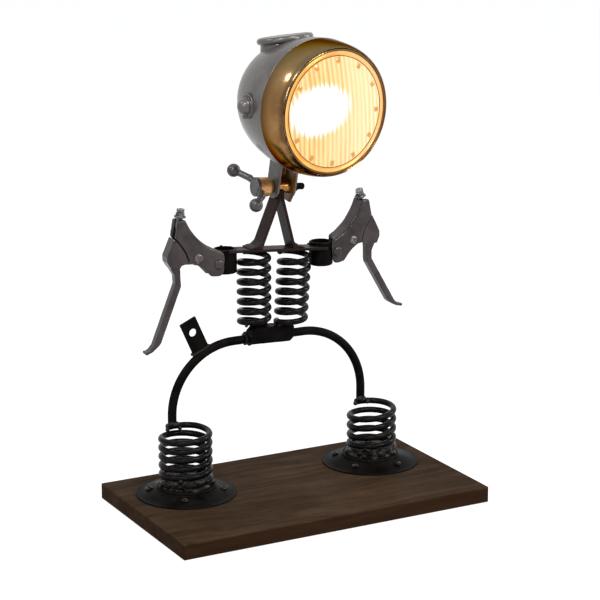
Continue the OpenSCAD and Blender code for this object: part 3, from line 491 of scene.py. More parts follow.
SCREW_BLACK = finished_metal(
    "blackened_screws", (34, 30, 28), (8, 7, 7), (120, 112, 106), metallic=0.5, shine=(0.22, 0.36),
    dust=0.05, mottle=90.0)
CASTING = finished_metal(
    "grey_casting", (72, 67, 66), (56, 51, 50), (150, 146, 144), metallic=0.75, shine=(0.24, 0.34),
    dust=0.06, grit=1100.0, mottle=45.0, relief=0.22, specular=0.1)
GREY_STEEL = finished_metal(
    "satin_grey_steel", (98, 95, 93), (78, 74, 72), (170, 166, 162), metallic=0.4, shine=(0.2, 0.34),
    wear_and_highlight=0.4, dust=0.05, mottle=22.0)
# the warm tint by the clamp bolt on the bracket and the handle's hub is painted spill light of the lamp
BRACKET_STEEL = finished_metal(
    "bracket_steel", (96, 93, 91), (74, 70, 68), (170, 166, 162), metallic=0.4, shine=(0.3, 0.42), wear_and_highlight=0.4,
    dust=0.03, mottle=40.0, spill_glow=(-0.0092, 0.0092, 0.09, (74, 50, 28), (150, 104, 60)))
HANDLE_STEEL = finished_metal(
    "handle_steel", (84, 81, 80), (58, 54, 52), (160, 156, 152), metallic=0.45, shine=(0.24, 0.38),
    dust=0.03, grit=800.0, relief=0.2, spill_glow=(-0.0272, 0.0, 0.0103, (136, 84, 40), (214, 162, 104)))
# the neck tube's brass tone is painted warm light that the lamp spills on it
BRASS_PAINTED_GLOW = finished_metal(
    "brass_tone_painted_glow", (196, 142, 78), (120, 76, 36), (236, 196, 130), metallic=0.9, shine=(0.2, 0.36), wear_and_highlight=0.6,
    grit=700.0, mottle=70.0)
ZINC = finished_metal(
    "zinc_plate", (136, 134, 136), (84, 82, 84), (206, 206, 208), metallic=0.8, shine=(0.22, 0.38),
    grit=1200.0, mottle=140.0)
NUT_GREY = finished_metal(
    "dull_nut_zinc", (98, 96, 97), (52, 50, 51), (170, 170, 172), metallic=0.7, shine=(0.22, 0.36),
    wear_and_highlight=0.6, grit=1200.0, mottle=140.0)
DULL_SCREW = finished_metal(
    "dull_screw_steel", (104, 99, 97), (66, 61, 59), (176, 170, 166), metallic=0.6, shine=(0.22, 0.36),
    wear_and_highlight=0.7, grit=1200.0, mottle=120.0)
# painted amber shade for the grooves beside the lens's seat ring
GROOVE_SHADE = finished_metal(
    "amber_shadow_line", (150, 92, 40), (84, 46, 18), (190, 130, 70), wear_and_highlight=0.2, mottle=90.0, specular=0.1)
RUBBER = finished_metal(
    "black_rubber", (34, 32, 32), (20, 19, 19), (52, 50, 50), shine=(0.6, 0.75), wear_and_highlight=0.3, dust=0.15,
    grit=1400.0)
PLASTIC = finished_metal(
    "white_plastic", (226, 222, 212), (206, 200, 188), (236, 232, 226), shine=(0.35, 0.5), wear_and_highlight=0.2,
    dust=0.1, grit=1000.0, mottle=25.0)
MIRROR = finished_metal(
    "bright_reflector", (232, 226, 214), (206, 196, 178), (240, 238, 232), metallic=1.0, shine=(0.05, 0.14),
    wear_and_highlight=0.2, dust=0.05, mottle=20.0, relief=0.03)
WOOD = dark_wood_material()
NICKEL = plating_with_painted_shade("nickel_with_painted_shade", srgb(164, 128, 86), srgb(112, 78, 46), srgb(214, 200, 176))
LENS = lit_lens_material()
RING = glowing_ring_material()
BULB = frosted_bulb_material()


# ---------------- mesh helpers
def finish_piece(name, bm, material, body, replaces=(), sharp=38.0, at=None):
    """Makes a piece of a mesh drawn in millimetres, on its body, with the nodes it replaces hidden; at is its
    own frame.
    """
    bmesh.ops.remove_doubles(bm, verts=bm.verts, dist=0.002)
    bmesh.ops.dissolve_degenerate(bm, edges=bm.edges, dist=0.001)
    bmesh.ops.recalc_face_normals(bm, faces=bm.faces)
    bmesh.ops.scale(bm, vec=(MM, MM, MM), verts=bm.verts)
    mesh = bpy.data.meshes.new(name)
    bm.to_mesh(mesh)
    bm.free()
    mesh.shade_smooth()
    mesh.set_sharp_from_angle(angle=math.radians(sharp))
    mesh.materials.append(material)
    piece = bpy.data.objects.new(name, mesh)
    bpy.context.scene.collection.objects.link(piece)
    if at is not None:
        piece.matrix_world = at
    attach(piece, body)
    if replaces:
        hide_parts(*replaces)
    return piece


def join_rings(bm, a, b):
    """Faces between two closed rings of as many points."""
    for k in range(len(a)):
        n = (k + 1) % len(a)
        bm.faces.new((a[k], a[n], b[n], b[k]))


def add_turned(bm, matrix, profile, steps, wave=None):
    """Revolves a closed (radius, height) outline about the local Z; wave(angle) may vary the radius."""
    rings = []
    for i in range(steps):
        a = 2 * math.pi * i / steps
        grow = wave(a) if wave else 1.0
        rings.append([bm.verts.new(matrix @ Vector((r * grow * math.cos(a), r * grow * math.sin(a), h)))
                      for r, h in profile])
    count = len(profile)
    for i in range(steps):
        here, there = rings[i], rings[(i + 1) % steps]
        for k in range(count):
            n = (k + 1) % count
            if profile[k][0] < 1e-6 and profile[n][0] < 1e-6:
                continue
            bm.faces.new((here[k], here[n], there[n], there[k]))


def turned_head_piece(name, profile, steps, material, replaces=(), sharp=38.0, axis=HEAD_AXIS):
    bm = bmesh.new()
    add_turned(bm, axis, profile, steps)
    finish_piece(name, bm, material, "head", replaces, sharp)


def arc(cx, cy, r, start, end, steps):
    angles = [math.radians(start + (end - start) * i / steps) for i in range(steps + 1)]
    return [(cx + r * math.cos(a), cy + r * math.sin(a)) for a in angles]


def add_tube(bm, points, radius, rough):
    """A round bar along points; rough[i][k] varies the radius at point k of ring i."""
    sides = len(rough[0])
    points = [Vector(p) for p in points]
    rings = []
    normal = None
    for i, p in enumerate(points):
        ahead = (points[min(i + 1, len(points) - 1)] - points[max(i - 1, 0)]).normalized()
        if normal is None:
            normal = ahead.orthogonal().normalized()
        normal = (normal - ahead * normal.dot(ahead)).normalized()
        across = ahead.cross(normal)
        ring = []
        for k in range(sides):
            b = 2 * math.pi * k / sides
            r = radius * rough[min(i, len(rough) - 1)][k]
            ring.append(bm.verts.new(p + normal * (r * math.cos(b)) + across * (r * math.sin(b))))
        rings.append(ring)
    for a, b in zip(rings, rings[1:]):
        join_rings(bm, a, b)
    for ring, end, before in ((rings[0], points[0], points[1]), (rings[-1], points[-1], points[-2])):
        # slightly rounded cut end
        rise = (end - before).normalized() * radius * 0.12
        inner = [bm.verts.new(end + (v.co - end) * 0.8 + rise) for v in ring]
        join_rings(bm, ring, inner)
        bm.faces.new(inner)


def remesh_smooth(piece, voxel, passes):
    """Rounds a cast, forged or welded form: fine remesh, then smoothing."""
    remesh = piece.modifiers.new("even_skin", "REMESH")
    remesh.mode = "VOXEL"
    remesh.voxel_size = voxel * MM
    remesh.use_smooth_shade = True
    smooth = piece.modifiers.new("rounded_edges", "SMOOTH")
    smooth.factor = 0.5
    smooth.iterations = passes


def weld_beads(name, spots, seed, voxel=0.55):
    """Lumpy weld metal: overlapping beads (x, y, z, size) melted into one."""
    chance = random.Random(seed)
    bm = bmesh.new()
    for x, y, z, size in spots:
        for _ in range(2):
            dx, dy, dz = (chance.uniform(-0.3, 0.3) * size for _ in range(3))
            wide, deep, high = (size * chance.uniform(*span) for span in ((0.8, 1.1), (0.8, 1.1), (0.7, 1.0)))
            matrix = Matrix.Translation((x + dx, y + dy, z + dz)) @ Matrix.Diagonal((wide, deep, high, 1.0))
            bmesh.ops.create_icosphere(bm, subdivisions=2, radius=1.0, matrix=matrix)
    piece = finish_piece(name, bm, WELD, "stand")
    remesh_smooth(piece, voxel, 5)


# ---------------- springs
PER_CURL = 40            # points along each curl
FOOT_WIRE, TORSO_WIRE, TORSO_RING = 6.6, 6.4, 15.0
TORSO_GAP = 0.1          # between a torso spring and what it stands under and on
FLAT_T = 3.0             # thickness of the shoulder bar


def spring_points(base, curls, ring, wire, first, opened, level, start, slant, drift):
    """Centre line of a wound spring; the same rule as the part's own springs."""
    points = []
    count = int(curls * PER_CURL)
    for i in range(count + 1):
        t = curls * i / count
        a = math.radians(start + 360 * t)
        x = ring * math.cos(a)
        h = first * min(t, 1) + opened * max(min(t, curls - level) - 1, 0)
        steady = 1.0 if first == opened else min(t / 2, 1)
        points.append((base[0] + x + drift * h, base[1] + ring * math.sin(a),
                       base[2] + wire / 2 + h + slant * x * steady))
    return points


FEET = {
    "left": dict(base=(-109.6, FOOT_Y, FOOT_TOP), curls=5.8, ring=24.7, wire=FOOT_WIRE, first=9.3, opened=9.3,
                 level=0.2, start=112 - 360 * 5.8, slant=0.0, drift=0.0),
    "right": dict(base=(110.2, FOOT_Y, FOOT_TOP), curls=4.8, ring=23.5, wire=FOOT_WIRE, first=8.2,
                  opened=10.26, level=0.0, start=106 - 360 * 4.8, slant=0.06, drift=0.0),
}


def slope(degrees):
    return math.tan(math.radians(degrees))


def hip_over(x):
    """Height of the hip block's leaning top at x."""
    return HIP_TOP - (x - ARCH_X) * slope(HIP_LEAN)


def torso_shape(x, end_x, curls, start, drift):
    """A torso spring that fills the room between the hip block and the shoulder bar."""
    under = SHOULDER_Z - FLAT_T / math.cos(math.radians(LEAN)) - (x + end_x) * slope(LEAN)
    pitch = (under - hip_over(x) - TORSO_WIRE - 2 * TORSO_GAP + end_x * slope(HIP_LEAN)) / curls
    return dict(base=(x, TORSO_Y, hip_over(x) + TORSO_GAP), curls=curls, ring=TORSO_RING, wire=TORSO_WIRE,
                first=pitch, opened=pitch, level=0.0, start=start, slant=-slope(HIP_LEAN), drift=drift)


TORSO = {"left": torso_shape(-24.7, -5, 7.26, 12, 0.0), "right": torso_shape(17.7, -8, 7.05, 135, 0.066)}


def wound_spring(name, shape, node, seed):
    chance = random.Random(seed)
    count = int(shape["curls"] * PER_CURL) + 1
    rough = [[chance.uniform(0.985, 1.0) for _ in range(14)] for _ in range(count)]
    bm = bmesh.new()
    add_tube(bm, spring_points(**shape), shape["wire"] / 2, rough)
    finish_piece(name, bm, SPRING_BLACK, "stand", [node])


def make_springs():
    for side, name in SIDES:
        wound_spring("foot_coil_" + name, FEET[name], "foot_spring_" + name, 11 + side)
        wound_spring("torso_coil_" + name, TORSO[name], "torso_spring_" + name, 21 + side)


# ---------------- welds
def ring_spots(cx, cy, z, r, start, end, step, size, seed):
    chance = random.Random(seed)
    spots = []
    a = start
    while a <= end:
        t = math.radians(a)
        rr = r + chance.uniform(-0.8, 0.8)
        spots.append((cx + rr * math.cos(t), cy + rr * math.sin(t), z + chance.uniform(-0.5, 0.5),
                      size * chance.uniform(0.75, 1.2)))
        a += step * chance.uniform(0.7, 1.3)
    return spots


def shifted(spots, x, y, z, grow=1.0):
    return [(x + dx, y + dy, z + dz, size * grow) for dx, dy, dz, size in spots]


# Beads given as (x, y, z, size): from the leg's foot, and from the origin
LEG_TOP_BEADS = (
    (-3.6, -2.6, -0.5, 3.2), (3.4, -2.8, -0.8, 3.0), (0.2, -4.2, -1.0, 3.1), (-4.8, 0.4, -2.2, 2.9),
    (4.8, 0.2, -2.4, 2.9), (0.0, 3.6, -1.2, 2.6), (-1.6, -3.4, 1.8, 2.4), (2.0, 2.6, 1.2, 2.0),
    (-6.8, -3.0, -4.0, 2.6), (6.6, -3.4, -4.4, 2.4))
HIP_FRONT_BEADS = [(-26.0, 44.0, 162.2, 2.2), (-27.2, 47.5, 161.6, 2.6), (-27.8, 51.0, 162.0, 2.4),
                   (-27.4, 42.5, 166.0, 1.8), (-26.8, 41.5, 170.0, 1.7)]


def weld_foot(side, name):
    """Beads round the spring's foot, and where the leg stands on its top curl."""
    shape = FEET[name]
    x, y, z = shape["base"]
    spots = ring_spots(x, y, z + 0.6, shape["ring"] + 1.2, 0, 350, 8, 3.0, 31 + side)
    for lift, first, last, size in ((3.6, 165, 375, 3.3), (7.2, 190, 352, 3.0), (10.6, 214, 330, 2.3)):
        spots += ring_spots(x, y, z + lift, shape["ring"] + 0.2, first, last, 9, size, 33 + side)
    weld_beads("foot_weld_" + name, spots, 41 + side, voxel=0.8)
    top = FOOT_TOP + FOOT_WIRE + shape["first"] + shape["opened"] * (shape["curls"] - shape["level"] - 1)
    weld_beads("leg_weld_" + name, shifted(LEG_TOP_BEADS, side * LEG_X + ARCH_X, LEG_Y, top), 51 + side)


def weld_tab():
    turn = math.radians(TAB_LEAN)
    down = 21.0              # from the tab's hole to the rod
    foot = Vector((TAB_HOLE_X + down * math.sin(turn), LEG_Y, TAB_HOLE_Z - down * math.cos(turn)))
    along = Vector((math.cos(turn), 0, math.sin(turn)))
    spots = []
    for i in range(-5, 6):
        for dy in (-2.2, 2.2):
            p = foot + along * (i * 1.9) + Vector((0, dy, 0.0))
            spots.append((p.x, p.y, p.z - 0.02 * i * i, 1.9))
    weld_beads("tab_weld", spots, 61)


def weld_hip():
    """Ragged ends of the hip block on the arch, and the torso springs' feet on top of it."""
    upright = [(0, x, y, size) for x, y, _, size in ring_spots(0, 0, 0, 5.0, 0, 350, 40, 1.9, 62)]
    weld_beads("hip_weld_left", shifted(upright, -28.4, LEG_Y, 165.2, 1.15) + HIP_FRONT_BEADS, 63)
    weld_beads("hip_weld_right", shifted(upright, 22.6, LEG_Y, 164.6), 64)
    for name, first, last in (("left", -40, 200), ("right", 60, 330)):
        x, y, z = TORSO[name]["base"]
        spots = [s for s in ring_spots(x, y, z - 0.2, TORSO_RING + 0.4, first, last, 12, 1.9, 65)
                 if 38.5 < s[1] < 57.5 and abs(s[0] - ARCH_X) < 25]
        spots += [(s[0], s[1], s[2] + 0.8, s[3] * 0.8) for s in spots[::2]]
        weld_beads("torso_foot_weld_" + name, spots, 66)


def weld_spring_top(side, name):
    x, y, z = spring_points(**TORSO[name])[-1]
    turns = [math.radians(-150 + i * 34) for i in range(7)]
    spots = [(x + 4.5 * math.cos(a), y + 3.0 * math.sin(a), z + 2.4, 1.8) for a in turns]
    weld_beads("torso_top_weld_" + name, spots, 70 + side)


def weld_shoulder(side, name):
    """The neck bar's foot on the shoulder bar, and the clamp ring at the bar's end."""
    spots = []
    for i in range(9):
        row = -9.0 + i * 2.25
        inside = SHOULDER @ Vector((side * 17.8 - 1.4 + side * (1.0 + 0.2 * i), row, 0.9))
        outside = SHOULDER @ Vector((side * 30.2 - 1.4, row, 0.6))
        spots += [(*inside, 1.7), (*outside, 1.3)]
    weld_beads("neck_weld_" + name, spots, 73 + side)
    spots = [(side * x, y, SHOULDER_Z - side * x * slope(LEAN) - 1.4, 2.0)
             for x, y in arc(RING_X, RING_Y, 12.4, 100, 260, 8)]
    weld_beads("ring_weld_" + name, spots, 76 + side)


def make_welds():
    for side, name in SIDES:
        weld_foot(side, name)
    weld_tab()
    weld_hip()
    for weld in (weld_spring_top, weld_shoulder):
        for side, name in SIDES:
            weld(side, name)


# ---------------- screws and nuts
CROSS_REACH, CROSS_DEPTH = 0.62, 0.55    # of a screw head's radius and height


def add_domed_head(bm, matrix, radius, height, width=0.16):
    """A screw's head as a height field: a dome with a cross sunk into it; width is that of its arms."""
    rings, steps = 14, 48
    grid = []
    for i in range(rings + 1):
        r = radius * i / rings
        row = []
        for k in range(steps):
            a = 2 * math.pi * k / steps
            x, y = r * math.cos(a), r * math.sin(a)
            z = height * (1 - 0.75 * (r / radius) ** 2.4)
            near, far = sorted((abs(x), abs(y)))
            if near < width * radius and far < CROSS_REACH * radius:
                z -= CROSS_DEPTH * height
            row.append(bm.verts.new(matrix @ Vector((x, y, z))))
        grid.append(row)
    base = [bm.verts.new(matrix @ Vector((x, y, -0.6))) for x, y in arc(0, 0, radius, 0, 360, steps)[:-1]]
    grid.append(base)
    for i in range(rings + 1):
        for k in range(steps):
            n = (k + 1) % steps
            if i == 0:
                bm.faces.new((grid[0][0], grid[1][k], grid[1][n]))
            else:
                bm.faces.new((grid[i][k], grid[i + 1][k], grid[i + 1][n], grid[i][n]))
    bm.faces.new(list(reversed(base)))
    for vert in grid[0][1:]:
        bm.verts.remove(vert)


SCREW_R = 38.5           # radius of the ring of screws in a foot plate
SCREW_TURNS = {"left": (-118, -28, 62, 154), "right": (-72, -144, 141, 50)}


def make_foot_screws():
    for side, name in SIDES:
        bm = bmesh.new()
        for n, a in enumerate(SCREW_TURNS[name]):
            t = math.radians(a)
            at = Matrix.Translation((side * FOOT_X + SCREW_R * math.cos(t), FOOT_Y + SCREW_R * math.sin(t),
                                     22.5))
            tilt = Matrix.Rotation(math.radians(4 + 2 * n), 4, Vector((math.sin(t + n), -math.cos(t + n), 0)))
            add_domed_head(bm, at @ tilt @ Matrix.Rotation(math.radians(30 + 37 * n), 4, "Z"), 3.9, 2.0)
            add_turned(bm, at, [(0, -14.5), (1.2, -14), (1.95, -12), (1.95, -0.4), (0, -0.4)], 24)
        finish_piece("foot_screw_set_" + name, bm, SCREW_BLACK, "stand",
                     ["foot_screws_" + name])


def make_arm_fasteners():
    for side, name in SIDES:
        frame_at = arm_frame(side)
        face = frame_at @ place_matrix((0, -8.3, 0)) @ Matrix.Rotation(math.radians(90), 4, "X")
        bm = bmesh.new()
        add_domed_head(bm, face @ Matrix.Rotation(math.radians(22), 4, "Z"), 4.5, 1.8, width=0.13)
        add_turned(bm, face, [(0, -18.5), (3, -18.5), (3, -0.5), (0, -0.5)], 32)
        back = frame_at @ place_matrix((0, 9.5, 0)) @ Matrix.Rotation(math.radians(-90), 4, "X")
        add_turned(bm, back, [(0, 0.1), (4.6, 0.1), (5.1, 0.5), (5.1, 2.5), (4.6, 2.95), (3.2, 2.95),
                              (3.0, 2.6), (0, 2.6)], 6)
        finish_piece("pivot_screw_" + name, bm, DULL_SCREW, "stand", ["lever_pivot_" + name])
        rivet = frame_at @ place_matrix((-21, -9.5, -9.2)) @ Matrix.Rotation(math.radians(90), 4, "X")
        bm = bmesh.new()
        dome = [(5.2 * math.sin(math.radians(a)), -0.05 + 2.05 * math.cos(math.radians(a)) ** 0.8)
                for a in range(10, 90, 8)]
        add_turned(bm, rivet, [(0, 2.0)] + dome + [(5.2, -0.05), (5.2, -0.3), (0, -0.3)], 48)
        add_turned(bm, rivet, [(0, -20.5), (3.9, -20.5), (4.6, -19.8), (3.0, -19.4), (3.0, -0.2), (0, -0.2)],
                   32)
        finish_piece("perch_rivet_" + name, bm, CASTING, "stand", ["perch_pin_" + name])


ADJUSTER_AT, ADJUSTER_LEAN = (15.6, 0, 41), -9.0     # in the arm's frame


def make_adjusters():
    for side, name in SIDES:
        at = arm_frame(side) @ place_matrix(ADJUSTER_AT, [("Y", ADJUSTER_LEAN)])
        bm = bmesh.new()
        # threaded shank with a bore, then the barrel with its nine slots
        thread = []
        z = -6.9
        while z < 7.0:
            thread += [(3.0, z), (2.72, z + 0.4)]
            z += 0.8
        add_turned(bm, at, [(1.2, -7.0)] + thread + [(2.9, 7.1), (1.2, 7.1)], 40)
        add_turned(bm, at, [(1.2, 7.05), (3.4, 7.05), (4.0, 7.5), (4.0, 10.1), (3.5, 10.58), (1.2, 10.58)],
                   72, lambda a: 1.0 - 0.10 * (math.cos(a * 9) > 0.2))
        finish_piece("adjuster_barrel_" + name, bm, ZINC, "adjuster_" + name, ["adjuster_" + name],
                     sharp=30)
        bm = bmesh.new()
        nut = at @ place_matrix((0, 0, 1.2))
        # flange with a fine knurl, then the six-sided nut
        add_turned(bm, nut, [(3.08, 0.1), (5.5, 0.05), (6.0, 0.5), (6.0, 1.9), (5.6, 2.35), (3.08, 2.35)],
                   60, lambda a: 1.0 - 0.02 * (math.cos(a * 26) > 0))
        add_turned(bm, nut, [(3.08, 2.3), (4.5, 2.3), (4.95, 2.7), (4.95, 5.0), (4.5, 5.36), (3.08, 5.36)], 6)
        finish_piece("locknut_" + name + "_detail", bm, NUT_GREY, "locknut_" + name,
                     ["adjuster_nut_" + name], sharp=30)


# ---------------- headlamp
SHEET_T = 1.6            # thickness of the headlamp's sheet steel
COLLAR_AT, COLLAR_LEAN = (0, 79, 64.2), [("X", -10.8), ("Y", 3.3)]
COLLAR_R, COLLAR_ROLL = 29.0, 3.5
BOSS_Y, BOSS_OUT, BOSS_TURN = 55, 66, 82.0      # place of the side bosses on the bowl


def bezel_radius(y):
    return RIM_R + (HEAD_R - RIM_R) * math.sqrt(max(0.0, 1 - (1 - y / BEZEL_L) ** 2))


def bowl_radius(t):
    """Radius of the bowl, t being 0 at the bezel and 1 at the back."""
    return HEAD_R * (1 - t ** 1.61) ** 0.25


def make_bezel():
    outer = [(bezel_radius(y), y) for y in [30.75 - 30.2 * (i / 40) ** 1.35 for i in range(41)]]
    bead = arc(RIM_R - 0.5, 0.75, 1.05, 30, 200, 12)
    inner = [(60.35, 1.4), (60.35, 4.0), (61.2, 4.2), (62.8, 5.0)]
    back = [(bezel_radius(y) - 1.4, y) for y in [6.5 + 24.25 * i / 16 for i in range(17)]]
    turned_head_piece("bezel_shell", outer + bead + inner + back, 192, NICKEL, ["headlamp_bezel"],
                      sharp=50)
    # thin rolled seam where bezel and bowl meet
    seam = arc(HEAD_R - 0.2, BEZEL_L, 0.5, 0, 345, 14)
    turned_head_piece("bezel_seam", seam, 192, GREY_STEEL)


def make_bowl():
    steps = 56
    levels = [1 - (1 - k / steps) ** 2.2 for k in range(steps + 1)]
    front = BEZEL_L + 0.4
    outer = [(bowl_radius(t), front + t * (HEAD_L - front)) for t in levels[:-1]] + [(0, HEAD_L)]
    inner = [(max(r - SHEET_T, 0.0), h - SHEET_T if h > 60 else h) for r, h in reversed(outer[:-2])]
    inner[0] = (0.0, HEAD_L - SHEET_T - 0.1)
    turned_head_piece("bowl_shell", outer + inner, 160, GREY_STEEL,
                      ["headlamp_bowl", "collar_cap"], sharp=50)


def make_collar():
    """The flared neck on top of the bowl, with its rolled flange and the sunk lid that closes it."""
    at = HEAD @ place_matrix(COLLAR_AT, COLLAR_LEAN) @ Matrix.Diagonal((1.0, 0.92, 1.0, 1.0))
    flange = arc(COLLAR_R - COLLAR_ROLL, -COLLAR_ROLL, COLLAR_ROLL, -80, 100, 14)
    profile = [(22.5, -30.0), (30.8, -30.0), (28.6, -23.0), (27.0, -16.0), (26.2, -10.5), (25.7, -7.2)]
    profile += flange
    profile += [(24.6, -0.15), (24.2, -0.75), (23.7, -0.5), (20.0, -0.3), (0, -0.2), (0, -5.2), (22.0, -5.2)]
    turned_head_piece("collar_neck", profile, 128, GREY_STEEL, sharp=45, axis=at)


def make_side_bosses():
    for side, name in SIDES:
        at = HEAD @ place_matrix((0, BOSS_Y, 0), [("Y", side * BOSS_TURN)]) @ place_matrix((0, 0, BOSS_OUT))
        bm = bmesh.new()
        plate = at @ Matrix.Diagonal((1.28, 1.0, 1.0, 1.0))
        add_turned(bm, plate, [(0, -3.0), (9.6, -3.0), (9.8, 0.6), (9.2, 1.5), (8.9, 0.9), (0, 0.9)], 64)
        dome = [(0, 10.7)] + [(8.6 * math.sin(math.radians(a)), 1.7 + 9.0 * math.cos(math.radians(a)))
                              for a in range(9, 90, 9)] + [(8.0, 1.0), (0, 1.0)]
        add_turned(bm, at, dome, 64)
        # small knob above the dome and the tab below it
        knob = at @ Matrix.Translation((-10.2, 2.0, 0.4))
        add_turned(bm, knob, [(0, 3.2), (1.6, 3.0), (2.5, 2.0), (2.7, 0.4), (2.7, -2.6), (0, -2.6)], 32)
        tab = at @ Matrix.Translation((10.6, 1.0, 0.2)) @ Matrix.Diagonal((1.0, 0.7, 1.0, 1.0))
        add_turned(bm, tab, [(0, 2.2), (1.9, 2.0), (2.6, 1.2), (2.8, -2.4), (0, -2.4)], 32)
        boss = finish_piece("side_boss_" + name, bm, GREY_STEEL, "head", ["side_bolt_" + name])
        remesh_smooth(boss, 0.45, 7)


GLASS_R = 54.6           # glass that shows inside the seat ring
FLUTED_R = 49.0          # the flutes end here, and the stops stand outside them
GLASS_BACK = 5.2
DOME_R, DOME = 56.0, 5.0


def lens_height(r):
    return 2 - DOME * (1 - (r / DOME_R) ** 2)


def make_lens():
    rings, steps = 88, 288
    bm = bmesh.new()
    front = []
    for i in range(rings + 1):
        r = GLASS_R * i / rings
        fade = min(1.0, max(0.0, (FLUTED_R - r) / 2.0))
        row = []
        for k in range(steps if i else 1):
            a = 2 * math.pi * k / steps
            x, z = r * math.cos(a), r * math.sin(a)
            flute = 0.45 * fade * (0.5 + 0.5 * math.cos(2 * math.pi * x / FLUTE))
            turn = abs(math.cos(math.atan2(x, z) * PIPS / 2 - math.radians(PIP_START * PIPS / 2)))
            pip = 0.8 * max(0.0, min(1.0, (turn - 0.95) / 0.04)) * max(0.0, 1 - abs(r - PIP_R) / 2.6)
            row.append(bm.verts.new((x, lens_height(r) + flute - pip, z)))
        front.append(row)
    for k in range(steps):
        bm.faces.new((front[0][0], front[1][(k + 1) % steps], front[1][k]))
    for a, b in zip(front[1:], front[2:]):
        join_rings(bm, a, b)
    back = [bm.verts.new((v.co.x, GLASS_BACK, v.co.z)) for v in front[-1]]
    join_rings(bm, front[-1], back)
    bm.faces.new(list(reversed(back)))
    finish_piece("fluted_lens", bm, LENS, "head", ["lens_glass"], sharp=60, at=HEAD_AT)
    # bright seat ring round the glass, with a groove on each side coloured in painted amber shade
    profile = [(55.3, 5.0), (55.3, 1.6)] + arc(57.5, 1.7, 2.15, 175, 15, 14) + [(59.7, 2.2), (59.7, 5.0)]
    turned_head_piece("lens_seat_ring", profile, 192, RING, sharp=50)
    for name, near, far, front in (("inner", 54.5, 55.4, 1.3), ("outer", 59.6, 60.3, 1.1)):
        profile = [(near, 5.0), (near, front + 0.3), (near + 0.3, front), (far - 0.2, front),
                   (far, front + 0.3), (far, 5.0)]
        turned_head_piece("lens_" + name + "_groove_shade", profile, 192, GROOVE_SHADE, sharp=50)


# ---------------- carried CAD nodes
def soft_edges_modifier():
    """Joins a solid's split faces and shades it smooth except over sharp edges."""
    tree = bpy.data.node_groups.new("smooth_by_angle", "GeometryNodeTree")
    tree.interface.new_socket("Geometry", in_out="INPUT", socket_type="NodeSocketGeometry")
    tree.interface.new_socket("Geometry", in_out="OUTPUT", socket_type="NodeSocketGeometry")
    wires = Tree(tree)
    given = wires.add("NodeGroupInput").outputs[0]
    bare_and_lit = wires.add("GeometryNodeRemoveAttribute", {"Geometry": given, "Name": "custom_normal"}).outputs[0]
    joined = wires.add("GeometryNodeMergeByDistance", {"Geometry": bare_and_lit, "Distance": 2e-6}).outputs[0]
    angle = wires.add("GeometryNodeInputMeshEdgeAngle").outputs[0]
    sharp = wires.add("FunctionNodeCompare", {0: angle, 1: math.radians(32.0)}, operation="GREATER_THAN")
    smooth = wires.add("GeometryNodeSetShadeSmooth", {"Geometry": joined, "Shade Smooth": True},
                       domain="FACE").outputs[0]
    crisp = wires.add("GeometryNodeSetShadeSmooth", {"Geometry": smooth, "Selection": sharp.outputs[0],
                                                     "Shade Smooth": False}, domain="EDGE").outputs[0]
    out = wires.add("NodeGroupOutput")
    tree.links.new(crisp, out.inputs[0])
    return tree


SOFT_EDGES = soft_edges_modifier()


def dress(name, material, voxel=None, passes=0):
    """Gives a carried node its finish, and rounds it where a voxel size is given."""
    node = nodes_by_name[name]
    node.data.materials.clear()
    node.data.materials.append(material)
    soft = node.modifiers.new("soft_edges", "NODES")
    soft.node_group = SOFT_EDGES
    if voxel:
        remesh_smooth(node, voxel, passes)


SIDED_NODES = (          # node without its side, finish, voxel size and smoothing passes
    ("foot_plate_", PLATE_BLACK),
    ("lever_perch_", CASTING, 0.8, 34),
    ("lever_blade_", CASTING, 0.5, 9),
    ("shoulder_ring_", BLACK, 0.6, 4),
    ("neck_bar_", BAR_BROWN, 0.55, 3),
)
SINGLE_NODES = (
    ("reflector", MIRROR),
    ("lampholder", PLASTIC),
    ("bulb", BULB),
    ("base_board", WOOD),
    ("leg_arch", BLACK),
    ("leg_tab", BLACK, 0.5, 3),
    ("hip_block", BLACK, 0.7, 8),
    ("shoulder_bar", BAR_BROWN, 0.6, 3),
    ("neck_tube", BRASS_PAINTED_GLOW),
    ("head_bracket", BRACKET_STEEL, 0.5, 4),
    ("clamp_nut", BLACK),
    ("clamp_bolt", BLACK),
    ("clamp_handle", HANDLE_STEEL, 0.5, 8),
    ("bezel_screw", ZINC),
    ("lens_gasket", RUBBER),
    ("cable_grommet", RUBBER, 0.4, 3),
)


def dress_carried_nodes():
    for _, name in SIDES:
        for start, *finish in SIDED_NODES:
            dress(start + name, *finish)
    for finish in SINGLE_NODES:
        dress(*finish)
    rounded = nodes_by_name["base_board"].modifiers.new("worn_corners", "BEVEL")
    rounded.width = 1.8 * MM
    rounded.segments = 3
    rounded.limit_method = "ANGLE"
    rounded.angle_limit = math.radians(40.0)


# ---------------- stage
def seen_rays(wires):
    """1 for the rays that show the background: those of the camera, of reflections and through glass."""
    rays = wires.add("ShaderNodeLightPath").outputs
    seen = wires.math("MAXIMUM", rays["Is Camera Ray"], rays["Is Glossy Ray"])
    return wires.math("MAXIMUM", seen, rays["Is Transmission Ray"])


def make_world():
    """A white studio as it is seen, which lights the object less than it shows."""
    world = bpy.data.worlds.new("studio")
    bpy.context.scene.world = world
    wires = clear_tree(world)
    dim, white = (wires.add("ShaderNodeBackground", {"Color": colour, "Strength": strength}).outputs[0]
                  for colour, strength in (((0.93, 0.96, 1.0, 1.0), 0.42), ((1.0, 1.0, 1.0, 1.0), 1.0)))
    both = wires.add("ShaderNodeMixShader", {0: seen_rays(wires), 1: dim, 2: white}).outputs[0]
    wires.add("ShaderNodeOutputWorld", {"Surface": both})


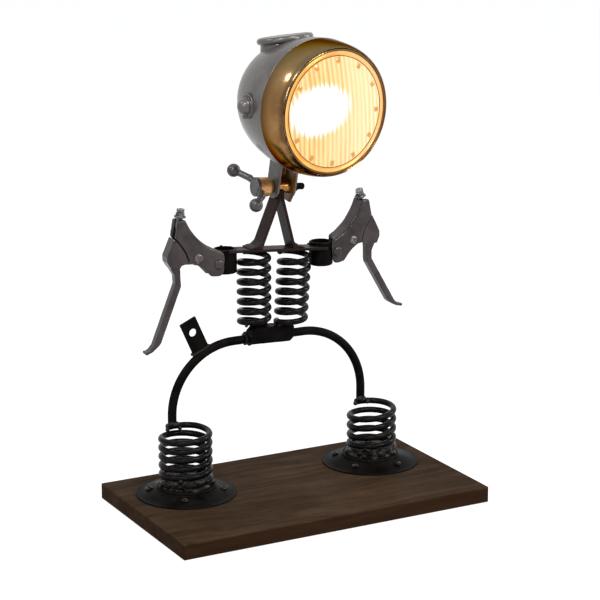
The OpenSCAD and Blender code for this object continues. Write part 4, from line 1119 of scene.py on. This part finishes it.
def make_floor():
    bm = bmesh.new()
    bmesh.ops.create_grid(bm, x_segments=8, y_segments=8, size=40.0)
    mesh = bpy.data.meshes.new("floor")
    bm.to_mesh(mesh)
    bm.free()
    floor = bpy.data.objects.new("floor", mesh)
    floor.location.z = -0.0003
    bpy.context.scene.collection.objects.link(floor)
    material = bpy.data.materials.new("pale_floor")
    wires = clear_tree(material)
    matt, veil = (wires.add("ShaderNodeBsdfDiffuse", {"Color": (grey, grey, grey, 1.0)}).outputs[0]
                  for grey in (0.8, 0.22))
    white = wires.add("ShaderNodeEmission", {"Color": (1.0, 1.0, 1.0, 1.0), "Strength": 0.9}).outputs[0]
    bright = wires.add("ShaderNodeAddShader", {0: veil, 1: white}).outputs[0]
    both = wires.add("ShaderNodeMixShader", {0: seen_rays(wires), 1: matt, 2: bright}).outputs[0]
    wires.add("ShaderNodeOutputMaterial", {"Surface": both})
    mesh.materials.append(material)


MIDDLE, UPPER, FACE = (0.0, 0.0, 0.27), (0.0, 0.0, 0.40), (0.0, 0.0, 0.42)   # what the lamps aim at
SOFTBOXES = (            # name, place, aim, width, height (metres) and power (watts)
    ("top_softbox", (0.4, -1.0, 2.0), MIDDLE, 0.7, 0.5, 20.0),
    ("upper_left_softbox", (-1.0, -1.05, 1.85), MIDDLE, 0.4, 0.4, 16.0),
    ("front_softbox", (0.9, -1.7, 1.2), MIDDLE, 0.4, 0.5, 15.0),
    ("left_glint", (-1.22, 0.48, 1.66), FACE, 0.22, 0.22, 7.0),
    ("left_strip", (-1.46, -0.95, 1.12), UPPER, 0.12, 0.5, 5.0),
    ("right_strip", (1.5, -0.2, 0.9), MIDDLE, 0.2, 1.0, 9.0),
)


def make_stage():
    bpy.context.scene.view_settings.view_transform = "Standard"
    make_world()
    make_floor()
    for softbox in SOFTBOXES:
        add_softbox(*softbox)


add_camera()
make_stage()
make_springs()
make_welds()
make_foot_screws()
make_arm_fasteners()
make_adjusters()
make_bezel()
make_bowl()
make_collar()
make_side_bosses()
make_lens()
dress_carried_nodes()

bpy.context.view_layer.update()
